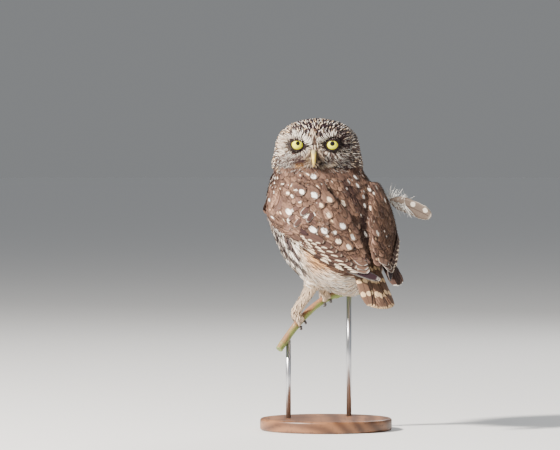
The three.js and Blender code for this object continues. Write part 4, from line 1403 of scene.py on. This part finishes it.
class Graph:
    """Short names for building a node tree."""

    def __init__(self, tree):
        self.tree = tree

    def node(self, kind, **settings):
        made = self.tree.nodes.new(kind)
        for key, value in settings.items():
            setattr(made, key, value)
        return made

    def feed(self, socket, value):
        if isinstance(value, Signal):
            value = value.socket
        if isinstance(value, bpy.types.NodeSocket):
            self.tree.links.new(value, socket)
        elif value is not None:
            socket.default_value = value

    def math(self, operation, *values):
        made = self.node("ShaderNodeMath", operation=operation)
        for socket, value in zip(made.inputs, values, strict=False):
            self.feed(socket, value)
        return Signal(self, made.outputs[0])

    def largest(self, first, second):
        return self.math("MAXIMUM", first, second)

    def step(self, value, low, high):
        """0 below low, 1 above high; the two may be given the other way round."""
        made = self.node("ShaderNodeMapRange", interpolation_type="SMOOTHSTEP")
        for socket, given in zip(made.inputs, (value, low, high, 0.0, 1.0), strict=False):
            self.feed(socket, given)
        return Signal(self, made.outputs[0])

    def mix(self, first, second, factor):
        made = self.node("ShaderNodeMix", data_type="RGBA")
        for number, value in ((0, factor), (6, first), (7, second)):
            self.feed(made.inputs[number], value)
        return made.outputs[2]

    def split(self, vector):
        """The three numbers of a vector."""
        made = self.node("ShaderNodeSeparateXYZ")
        self.feed(made.inputs[0], vector)
        return [Signal(self, socket) for socket in made.outputs]

    def noise(self, place, scale, detail=3.0, stretch=(1, 1, 1)):
        """Noise in space, which stretch can draw out along an axis."""
        mapping = self.node("ShaderNodeMapping")
        mapping.inputs["Scale"].default_value = stretch
        self.feed(mapping.inputs["Vector"], place)
        made = self.node("ShaderNodeTexNoise")
        self.feed(made.inputs["Vector"], mapping.outputs[0])
        self.feed(made.inputs["Scale"], scale)
        self.feed(made.inputs["Detail"], detail)
        return Signal(self, made.outputs[0])

    def bump(self, shader, height, strength, distance):
        made = self.node("ShaderNodeBump")
        self.feed(made.inputs["Strength"], strength)
        self.feed(made.inputs["Distance"], distance)
        self.feed(made.inputs["Height"], height)
        self.feed(shader.inputs["Normal"], made.outputs["Normal"])


def colour4(colour):
    return (*[float(v) for v in colour], 1.0)


def screen(red, green, blue):
    return colour4(srgb(red, green, blue))


def new_group(name, inputs, outputs):
    """An empty node group with its sockets; each is given as a pair of name and kind."""
    group = bpy.data.node_groups.new(name, "ShaderNodeTree")
    for direction, sockets in (("INPUT", inputs), ("OUTPUT", outputs)):
        for label, kind in sockets:
            group.interface.new_socket(label, in_out=direction, socket_type=f"NodeSocket{kind}")
    graph = Graph(group)
    return group, graph, graph.node("NodeGroupInput").outputs, graph.node("NodeGroupOutput").inputs


def new_material(name, **settings):
    """A material, its graph and its shader; settings are the shader's inputs, with _ for a space."""
    material = bpy.data.materials.new(name)
    material.use_nodes = True
    shader = material.node_tree.nodes["Principled BSDF"]
    for label, value in settings.items():
        shader.inputs[label.replace("_", " ")].default_value = value
    return material, Graph(material.node_tree), shader


# %% [markdown]
# ## Drawn marks
# x runs across a feather from -1 to 1 and y along it from 0 to 1. A spot is a far-or-near question:
# how far is this place from the spot's middle? The edges wander with some noise, because real marks
# are never quite even. A negative tip value asks for a pale rim instead of a pale tip.

# %% The group that draws a feather's marks
MARK_INPUTS = [("Vane", "Vector"), ("Marks", "Vector"), ("Ground", "Color"), ("Warm", "Float")]
MARK_OUTPUTS = [("Color", "Color"), ("Height", "Float")]


def vane_noise(g, given, chance):
    """Two kinds of noise along a feather, different on each feather."""
    wobble = g.node("ShaderNodeTexNoise", noise_dimensions="4D")
    g.feed(wobble.inputs["Vector"], given["Vane"])
    g.feed(wobble.inputs["W"], chance * 40.0)
    g.feed(wobble.inputs["Scale"], 3.0)
    return Signal(g, wobble.outputs[0]), Signal(g, wobble.outputs["Color"])


def toned_ground(g, given, change):
    """The feather's ground colour, a little lighter and darker along its barbs."""
    base = g.node("ShaderNodeVectorMath", operation="SCALE")
    g.feed(base.inputs[0], given["Ground"])
    g.feed(base.inputs["Scale"], 1.0 + change)
    return base.outputs[0]


marks_group, g, given, result = new_group("feather marks", MARK_INPUTS, MARK_OUTPUTS)
x, y, chance = g.split(given["Vane"])
spot, streak, tip = g.split(given["Marks"])
side_x = abs(x)
first_noise, second_noise = vane_noise(g, given, chance)
noise = first_noise - 0.5
barbs = g.math("SINE", (y * 30.0 - side_x * 7.0) * 2.6 + noise * 9.0)
base = toned_ground(g, given, barbs * 0.07 + noise * 0.35)
mark_colour = g.mix(colour4(WHITE), colour4(BUFF), given["Warm"])
wavy_x = x + noise * 0.8
wavy_y = y + (second_noise - 0.5) * 0.2
narrow = 0.22 + chance * 0.14 + g.step(y, 0.5, 0.85) * 0.13
far = g.math("SQRT", (wavy_x / narrow) ** 2.0 + ((wavy_y - 0.75) / 0.24) ** 2.0)
has_spot = g.step(spot, 0.02, 0.1)
spot_mask = g.step(far, spot + 0.2, spot - 0.3) * has_spot
dark_ring = g.step(far, spot + 0.6, spot) * has_spot * 0.15
streak_size = abs(streak)
dark_streak = g.step(streak, 0.01, -0.01)
streak_wide = streak_size * (dark_streak * 0.6 + (1.0 - dark_streak) * (1.05 - y))
streak_mask = g.step(abs(wavy_x), streak_wide + 0.08, streak_wide - 0.12) * g.step(streak_size, 0.02, 0.15)
streak_colour = g.mix(colour4(DARK_BROWN), mark_colour, g.step(streak, -0.01, 0.01))
tip_mask = g.step(y + noise * 0.12, 0.86, 0.95) * g.largest(tip, 0.0)
from_edge = g.largest(side_x + noise * 0.3, (y - 0.1) * 1.05)
edge_mask = g.step(from_edge, 0.82, 1.0) * g.step(y, 0.25, 0.6) * g.largest(tip * -1.0, 0.0)
shaft = g.step(side_x, 0.12, 0.03) * 0.35
colour = g.mix(base, colour4(DARK_BROWN), g.largest(shaft, dark_ring))
colour = g.mix(colour, streak_colour, streak_mask)
colour = g.mix(colour, mark_colour, g.largest(spot_mask, g.largest(tip_mask, edge_mask)))
g.feed(result["Color"], colour)
g.feed(result["Height"], barbs * 0.5 + noise * 0.6)

# %% [markdown]
# ## Bars on the quills
# The quills of wing and tail carry bars instead of a spot. The first mark says which kind: 1 or -1
# for bars on one web of a wing feather, 3 for a tail feather, and -2 for the loose one.

# %% The group that draws a quill's bars
bars_group, g, given, result = new_group("quill bars", MARK_INPUTS, MARK_OUTPUTS)
x, y, chance = g.split(given["Vane"])
pattern, _, tip = g.split(given["Marks"])
side_x = abs(x)
noise = vane_noise(g, given, chance)[0] - 0.5
barbs = g.math("SINE", (y * 60.0 - side_x * 6.0) * 2.6 + noise * 8.0)
base = toned_ground(g, given, barbs * 0.06 + noise * 0.3)
mark_colour = g.mix(colour4(WHITE), colour4(BUFF), given["Warm"])
bend = y + (noise * 0.05 + chance * 0.04)
wing_beat = g.math("FRACT", bend / 0.2)
kind = abs(pattern)
is_tail = g.step(kind, 2.4, 2.6)
is_loose = g.step(kind, 1.4, 1.6) * (1.0 - is_tail)
sparse = is_tail + is_loose
tail_beat = g.math("FRACT", bend / (0.21 + is_loose * 0.09) - (0.405 - is_loose * 0.105))
beat = wing_beat * (1.0 - sparse) + tail_beat * sparse
from_bar = abs(beat - 0.5)
web = x * g.math("SIGN", pattern) * (1.0 - is_tail) + side_x * is_tail
from_web = abs(web - (0.95 - sparse * 0.45))
bar_far = (from_bar / (0.29 - sparse * 0.1)) ** 2.0 + (from_web / (0.34 + is_tail * 0.1)) ** 2.0
past_root = g.step(y, 0.12 + is_loose * 0.18, 0.2 + is_loose * 0.2)
bar_mask = g.step(bar_far, 1.2, 0.7) * past_root * g.step(kind, 0.4, 0.6)
tip_mask = g.step(y + noise * 0.04, 0.955, 0.985) * g.largest(tip, 0.0)
at_edge = g.step(g.largest(side_x, y * 0.95), 0.88, 0.97)
edge_mask = at_edge * g.step(y, 0.4, 0.75) * g.largest(tip * -1.0, 0.0)
shaft = g.step(side_x, 0.09, 0.03) * 0.5
colour = g.mix(base, mark_colour, g.largest(bar_mask, g.largest(tip_mask, edge_mask)))
colour = g.mix(colour, colour4(DARK_BROWN), shaft)
g.feed(result["Color"], colour)
g.feed(result["Height"], barbs * 0.5 + g.step(side_x, 0.1, 0.0))


# %% [markdown]
# ## Feather materials
# Both groups are used in the same way, so one function makes both materials. The attributes of the
# feathers' points go in, and the colour and a fine relief of barbs come out.

# %% Feather materials
def feather_material(name, group):
    material, graph, shader = new_material(name, Roughness=0.85, Specular_IOR_Level=0.1, Sheen_Weight=0.03,
                                           Sheen_Roughness=0.5)
    drawn = graph.node("ShaderNodeGroup", node_tree=group)
    for label, kind, output in (("Vane", "vane", "Vector"), ("Marks", "marks", "Vector"),
                                ("Ground", "ground", "Color"), ("Warm", "ground", "Alpha")):
        found = graph.node("ShaderNodeAttribute", attribute_name=kind)
        graph.feed(drawn.inputs[label], found.outputs[output])
    graph.feed(shader.inputs["Base Color"], drawn.outputs["Color"])
    graph.bump(shader, drawn.outputs["Height"], 0.25, 0.0002)
    return material


plumage = feather_material("plumage", marks_group)
quills = feather_material("quills", bars_group)
for name, piece in coat.items():
    long_ones = any(kind in name for kind in ("primaries", "secondaries", "tertials", "greater"))
    piece.data.materials.append(quills if long_ones else plumage)
    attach(piece, "root")
for piece, node in ((tail, "tail"), (loose, "loose_feather")):
    piece.data.materials.append(quills)
    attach(piece, "root")
    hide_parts(node)


# %% [markdown]
# ## The skin's colour
# Here and there the skin shows between feathers. It uses the same material, so each of its points is
# given the ground colour of the feathers that grow there, a little darker.

# %% Skin material
def skin_colours(points, labels):
    """The same ground colours as the coat above each spot, a little darker."""
    random = np.random.default_rng(71)
    ground = np.broadcast_to(CREAM, points.shape).copy()
    x, z = on_face(points)
    ahead = dot(points - HEAD_MIDDLE, FACE_AHEAD) > 2
    disc = (labels == "head") & ahead & (z < brow_height(x))
    rear = behind_by(points) > 2
    kinds = [((labels == "head") & ~disc, crown_colours), (disc, disc_colours),
             (np.char.startswith(labels, "wing") | (np.isin(labels, ["trunk", "neck"]) & rear), back_colours),
             (np.isin(labels, ["trunk", "neck"]) & ~rear, breast_colours)]
    for where_kind, colours in kinds:
        ground[where_kind] = colours(points[where_kind], random)[0] * 0.9
    return ground


skin_ground = skin_colours(skin_points, labels_at(skin_points))
no_warmth = np.zeros((len(skin_points), 1))
attribute(skin_mesh, "ground", "FLOAT_COLOR", np.concatenate([skin_ground, no_warmth], 1))
skin_mesh.attributes.new("vane", "FLOAT_VECTOR", "POINT")
skin_mesh.attributes.new("marks", "FLOAT_VECTOR", "POINT")
shade_smooth(skin_mesh)
skin_mesh.materials.append(plumage)
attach(skin, "root")
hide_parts(*FLESH)

# %% [markdown]
# ## Eyes
# Each eye is a ball with a slightly bulging cornea. It is modelled looking along its own pole, so
# that the iris and pupil are plain circles there, and those places are kept as an attribute before
# the ball is turned to the gaze. The bird looks a little upward, past the viewer.

# %% Eyeballs
EYE_RADIUS = 8.2
IRIS_RADIUS = 6.1
CORNEA_RISE = 0.7
GAZES = {"left": (-5, 9, 2.3), "right": (3, 11, 1.95)}


def eyeball(side):
    """A ball with a cornea, turned to its gaze; yaw is toward the viewer's right."""
    yaw, pitch, pupil = GAZES[side]
    yaw, pitch = math.radians(yaw), math.radians(pitch)
    gaze = Vector((math.sin(yaw) * math.cos(pitch), -math.cos(yaw) * math.cos(pitch), math.sin(pitch)))
    ball = bmesh.new()
    bmesh.ops.create_uvsphere(ball, u_segments=48, v_segments=36, radius=1)
    drawn = ball.verts.layers.float_vector.new("gaze")
    for vert in ball.verts:
        x, y, z = vert.co.normalized()
        angle = math.acos(max(-1.0, min(1.0, z)))
        x, y = (x, y) if z > 0 else (1.0 + float(smooth(0.5, 0.0, z)), 0.0)
        vert[drawn] = (x, y, pupil / EYE_RADIUS)
        vert.co = vert.co.normalized() * (EYE_RADIUS + CORNEA_RISE * float(smooth(0.95, 0.35, angle)))
    turn = gaze.to_track_quat("Z", "Y").to_matrix().to_4x4()
    bmesh.ops.transform(ball, matrix=Matrix.Scale(MM, 4) @ Matrix.Translation(Vector(EYES[side])) @ turn,
                        verts=ball.verts)
    mesh = mesh_from(ball, f"eyeball_{side}")
    shade_smooth(mesh)
    return object_from(mesh, f"eyeball_{side}")


# %% [markdown]
# ## Iris and pupil
# The iris is lemon yellow with fine fibres that run outward, and has a dark rim. The pupil's edge is
# slightly uneven. A clear coat over it gives the wet glint.

# %% Iris and pupil
eye_group, g, given, result = new_group("iris", [("Gaze", "Vector")], [("Color", "Color")])
x, y, pupil = g.split(given["Gaze"])
far = g.math("SQRT", x * x + y * y)
spokes = g.node("ShaderNodeVectorMath", operation="NORMALIZE")
flat_gaze = g.node("ShaderNodeCombineXYZ")
g.feed(flat_gaze.inputs[0], x)
g.feed(flat_gaze.inputs[1], y)
g.feed(spokes.inputs[0], flat_gaze.outputs[0])
fibre = g.noise(spokes.outputs[0], 14.0)
iris = g.mix(screen(214, 216, 0), screen(250, 246, 0), fibre)
# Painted shading of the iris's hollow: a paler middle and a darker ring toward its edge.
iris = g.mix(iris, screen(250, 250, 60), g.step(far, 0.45, 0.25) * 0.4)
iris = g.mix(iris, screen(120, 116, 30), g.step(far, 0.58, 0.72) * 0.7)
edge = pupil + (fibre - 0.5) * 0.03
iris = g.mix(iris, screen(8, 7, 8), g.step(far, edge + 0.02, edge - 0.02))
rim = IRIS_RADIUS / EYE_RADIUS
g.feed(result["Color"], g.mix(iris, screen(22, 18, 18), g.step(far, rim - 0.03, rim + 0.02)))

eye_material, g, shader = new_material("eye", Roughness=0.4, Specular_IOR_Level=0.2, Coat_Weight=0.7,
                                       Coat_Roughness=0.03)
iris_drawn = g.node("ShaderNodeGroup", node_tree=eye_group)
g.feed(iris_drawn.inputs["Gaze"], g.node("ShaderNodeAttribute", attribute_name="gaze").outputs["Vector"])
g.feed(shader.inputs["Base Color"], iris_drawn.outputs["Color"])
for side in EYES:
    ball = eyeball(side)
    ball.data.materials.append(eye_material)
    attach(ball, "root")
    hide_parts(f"eye_{side}")
print("eyes look along", GAZES)

# %% [markdown]
# ## Bill and claws
# Horn is smooth, so these solids are copied, divided and smoothed. The bill's colours follow the place:
# it is rusty at its tip and greyish at its base. The claws are near black with a fine grain.

# %% Smooth horn pieces
def smooth_copy(nodes, name, cuts=2, rounds=2, narrow=1.0):
    joined = bmesh.new()
    for node in nodes:
        add_to(joined, node_copy(node))
    bmesh.ops.subdivide_edges(joined, edges=joined.edges[:], cuts=cuts, smooth=0.7, use_grid_fill=True)
    relax(joined, joined.verts, rounds)
    middle = sum(v.co.x for v in joined.verts) / len(joined.verts)
    for vert in joined.verts:
        vert.co.x = middle + (vert.co.x - middle) * narrow
    mesh = mesh_from(joined, name)
    shade_smooth(mesh)
    return object_from(mesh, name)


def object_material(name, roughness):
    """A material, its graph, its shader and the object's own coordinates."""
    material, graph, shader = new_material(name, Roughness=roughness)
    return material, graph, shader, graph.node("ShaderNodeTexCoord").outputs["Object"]


bill_material, g, shader, spot = object_material("bill horn", 0.38)
z = g.split(spot)[2]
grain = g.noise(spot, 400.0, stretch=(1, 1, 0.3))
horn = g.mix(screen(204, 168, 62), screen(238, 212, 104), grain)
horn = g.mix(horn, screen(172, 116, 66), g.step(z, 0.2665, 0.2625) * 0.6)
horn = g.mix(horn, screen(150, 146, 128), g.step(z, 0.2745, 0.2775) * 0.7)
g.feed(shader.inputs["Base Color"], horn)
g.bump(shader, grain, 0.1, 0.0001)

claw_material, g, shader, spot = object_material("claw horn", 0.35)
grain = g.noise(spot, 500.0)
g.feed(shader.inputs["Base Color"], g.mix(screen(26, 22, 22), screen(74, 64, 58), grain))
g.bump(shader, grain, 0.1, 0.0001)

CLAWS = [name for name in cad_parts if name.startswith("claw")]
for nodes, name, material, slot in ((["beak_upper"], "upper_bill", bill_material, "beak_horn"),
                                    (["beak_lower"], "lower_bill", bill_material, "beak_horn"),
                                    (CLAWS, "claws", claw_material, "claw_horn")):
    piece = smooth_copy(nodes, name, narrow=0.84 if slot == "beak_horn" else 1.0)
    piece.data.materials.append(material)
    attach(piece, "root")
    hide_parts(*nodes)
    print(name, "replaces", len(nodes), "solids")

# %% [markdown]
# ## The stem
# The bird sits on a smooth young shoot, green on the shaded side and reddish brown on the sunny one,
# with a few buds and fine pale pores. It is a tube round the same line as the solid.

# %% Stem
STEM_LINE = [(-47, -12, 81), (-36, -3, 96.5), (-25, 4, 110), (-12, 12, 122.5), (2, 20, 131.5), (17, 27, 136),
             (34, 34, 137.5)]
STEM_RADIUS = 3.6
STEM_RINGS, STEM_SIDES = 150, 32
BUD_LONG, BUD_WIDE, NODE_RISE = 0.12, 0.45, 0.22
BUDS = [(0.5, 3, 0.9), (1.6, 1.2, 0.7), (2.7, 4.2, 0.8), (4.6, 5.2, 0.7), (5.6, 2.4, 0.8)]


def stem_mesh():
    t = np.linspace(0, len(STEM_LINE) - 1, STEM_RINGS)
    line = np.stack([through([p[k] for p in STEM_LINE], t) for k in range(3)], 1)
    way = unit(np.gradient(line, axis=0))
    side = unit(np.cross(way, UP))
    top = np.cross(side, way)
    angle = np.linspace(0, 2 * math.pi, STEM_SIDES, endpoint=False)
    radius = np.full((STEM_RINGS, STEM_SIDES), STEM_RADIUS)
    for at, turn_at, rise in BUDS:
        far_round = np.abs((angle - turn_at + math.pi) % (2 * math.pi) - math.pi)
        radius += rise * blob((t[:, None], at, BUD_LONG), (far_round[None], 0, BUD_WIDE))
        radius += NODE_RISE * np.exp(-((t[:, None] - at + 0.1) / 0.05) ** 2)
    radius += np.random.default_rng(81).normal(0, 0.02, radius.shape)
    radius[0] *= 0.93
    radius[-1] *= 0.93
    points = (line[:, None] + radius[..., None] * (np.cos(angle)[None, :, None] * side[:, None]
                                                   + np.sin(angle)[None, :, None] * top[:, None]))
    ring = np.arange(STEM_SIDES)
    following = (ring + 1) % STEM_SIDES
    faces = [(i * STEM_SIDES + a, (i + 1) * STEM_SIDES + a, (i + 1) * STEM_SIDES + b, i * STEM_SIDES + b)
             for i in range(STEM_RINGS - 1) for a, b in zip(ring, following, strict=True)]
    faces.append(tuple(int(v) for v in ring))
    faces.append(tuple(int(v) for v in (STEM_RINGS - 1) * STEM_SIDES + ring[::-1]))
    mesh = bpy.data.meshes.new("young_stem")
    mesh.from_pydata((points.reshape(-1, 3) * MM).tolist(), [], [tuple(int(v) for v in f) for f in faces])
    shade_smooth(mesh)
    for cap in mesh.polygons[-2:]:
        cap.use_smooth = False
    return mesh


stem = object_from(stem_mesh(), "young_stem")
stem_material, g, shader, spot = object_material("young bark", 0.5)
broad = g.noise(spot, 60.0)
fine_grain = g.noise(spot, 900.0)
upward = g.split(g.node("ShaderNodeNewGeometry").outputs["Normal"])[2]
sunny = g.step(upward + (broad - 0.5) * 2.0, -0.2, 0.7)
bark = g.mix(screen(122, 136, 66), screen(134, 92, 66), sunny)
bark = g.mix(bark, screen(190, 176, 136), g.step(fine_grain, 0.62, 0.7) * 0.5)
g.feed(shader.inputs["Base Color"], bark)
g.bump(shader, fine_grain + broad, 0.3, 0.0003)
stem.data.materials.append(stem_material)
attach(stem, "root")
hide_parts("perch")

# %% [markdown]
# ## The stand
# Two thin steel rods carry the stem above a turned wooden disc. Rods and disc are round, so they are
# made anew with many sides, at the places and sizes of their solids.

# %% Stand
def round_piece(name, node, bevel=0.0, segments=96):
    low, high = (np.array(v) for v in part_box(node))
    middle, size = (low + high) / 2, high - low
    shape = bmesh.new()
    bmesh.ops.create_cone(shape, cap_ends=True, segments=segments, radius1=size[0] / 2, radius2=size[0] / 2,
                          depth=size[2], matrix=Matrix.Translation(middle))
    if bevel:
        rims = [e for e in shape.edges if abs(e.verts[0].co.z - e.verts[1].co.z) < 1e-6]
        bmesh.ops.bevel(shape, geom=rims, offset=bevel * MM, affect="EDGES", segments=5, profile=0.5,
                        material=-1)
    mesh = mesh_from(shape, name)
    flat = np.abs(read(mesh.polygon_normals, "vector", 3)[:, 2]) > 0.999
    mesh.polygons.foreach_set("use_smooth", ~flat)
    return object_from(mesh, name)


wood_material, g, shader, spot = object_material("turned wood", 0.42)
rings = g.node("ShaderNodeTexWave", wave_type="RINGS", rings_direction="Y")
rings.inputs["Scale"].default_value = 26.0
rings.inputs["Distortion"].default_value = 2.2
rings.inputs["Detail"].default_value = 3.0
shifted = g.node("ShaderNodeMapping")
shifted.inputs["Location"].default_value = (0.03, 0.0, 0.05)
g.feed(shifted.inputs["Vector"], spot)
g.feed(rings.inputs["Vector"], shifted.outputs[0])
fibre = g.noise(spot, 300.0, stretch=(1, 0.05, 1))
wood = g.mix(screen(92, 60, 40), screen(134, 92, 62), rings.outputs["Fac"])
wood = g.mix(wood, screen(66, 42, 30), g.step(fibre, 0.55, 0.75) * 0.6)
g.feed(shader.inputs["Base Color"], wood)
g.bump(shader, fibre, 0.15, 0.0002)

steel_material, g, shader, spot = object_material("brushed steel", 0.32)
shader.inputs["Metallic"].default_value = 1.0
brushing = g.noise(spot, 900.0, stretch=(1, 1, 0.04))
g.feed(shader.inputs["Base Color"], g.mix(screen(176, 178, 182), screen(206, 208, 212), brushing))
g.feed(shader.inputs["Roughness"], 0.24 + brushing * 0.2)

for node, name, material, slot, bevel in (("stand_base", "disc", wood_material, "stand_wood", 2.5),
                                          ("stand_rod_front", "front_rod", steel_material, "stand_rods", 0),
                                          ("stand_rod_back", "back_rod", steel_material, "stand_rods", 0)):
    piece = round_piece(name, node, bevel)
    piece.data.materials.append(material)
    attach(piece, "root")
    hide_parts(node)
    print(name, [round(float(v) / MM, 1) for v in piece.dimensions])

# %% [markdown]
# ## Floor, light and camera
# One hard lamp from the upper left is the sun, a weak one fills the shadows and one behind the bird
# lights its outline. The camera stands far away with a long lens, and sees what the photo shows at
# one millimetre per pixel.

# %% Floor, light and camera
bpy.ops.mesh.primitive_plane_add(size=90, location=(0, 0, 0))
floor = bpy.context.active_object
floor.name = "floor"
FLOOR_COLOUR = (0.8, 0.8, 0.79)
floor_material, _, shader = new_material("pale floor")
shader.inputs["Base Color"].default_value = (*FLOOR_COLOUR, 1)
floor.data.materials.append(floor_material)

world = bpy.context.scene.world or bpy.data.worlds.new("studio")
bpy.context.scene.world = world
world.use_nodes = True
sky = Graph(world.node_tree)
sky_light = world.node_tree.nodes["Background"]
sky_seen = sky.node("ShaderNodeBackground")
sky_mix = sky.node("ShaderNodeMixShader")
SKY_COLOUR = (0.93, 0.96, 1.0)
SKY_STRENGTH = 0.3
sky_light.inputs["Color"].default_value = (*SKY_COLOUR, 1)
sky_light.inputs["Strength"].default_value = SKY_STRENGTH
seen_colour = [f * c for f, c in zip(FLOOR_COLOUR, SKY_COLOUR, strict=True)]
sky_seen.inputs["Color"].default_value = (*seen_colour, 1)
sky_seen.inputs["Strength"].default_value = SKY_STRENGTH * 1.02
sky.feed(sky_mix.inputs[0], sky.node("ShaderNodeLightPath").outputs["Is Camera Ray"])
sky.feed(sky_mix.inputs[1], sky_light.outputs[0])
sky.feed(sky_mix.inputs[2], sky_seen.outputs[0])
sky.feed(world.node_tree.nodes["World Output"].inputs["Surface"], sky_mix.outputs[0])


def area_light(name, spot, aim, size, power, colour):
    lamp = bpy.data.lights.new(name, "AREA")
    lamp.shape = "DISK"
    lamp.size = size
    lamp.energy = power
    lamp.color = colour
    holder = bpy.data.objects.new(name, lamp)
    holder.location = spot
    holder.rotation_euler = (Vector(aim) - Vector(spot)).to_track_quat("-Z", "Y").to_euler()
    bpy.context.scene.collection.objects.link(holder)


area_light("key", (-2.0, -1.2, 1.9), (0, 0, 0.2), 0.35, 370, (1, 0.94, 0.87))
area_light("fill", (1.8, -1.4, 0.9), (0, 0, 0.2), 1.2, 5, (0.85, 0.92, 1))
area_light("rim", (0.8, 1.8, 1.5), (0, 0, 0.22), 0.8, 22, (1, 1, 1))

camera_data = bpy.data.cameras.new("camera")
camera_data.sensor_width = SENSOR_WIDTH
camera_data.lens = SENSOR_WIDTH * CAMERA_DISTANCE / PHOTO_WIDTH
camera_data.clip_end = 100
camera = bpy.data.objects.new("camera", camera_data)
bpy.context.scene.collection.objects.link(camera)
camera.location = Vector(VIEWER) * MM
camera.rotation_euler = (math.pi / 2 - CAMERA_TILT, 0, 0)
bpy.context.scene.camera = camera
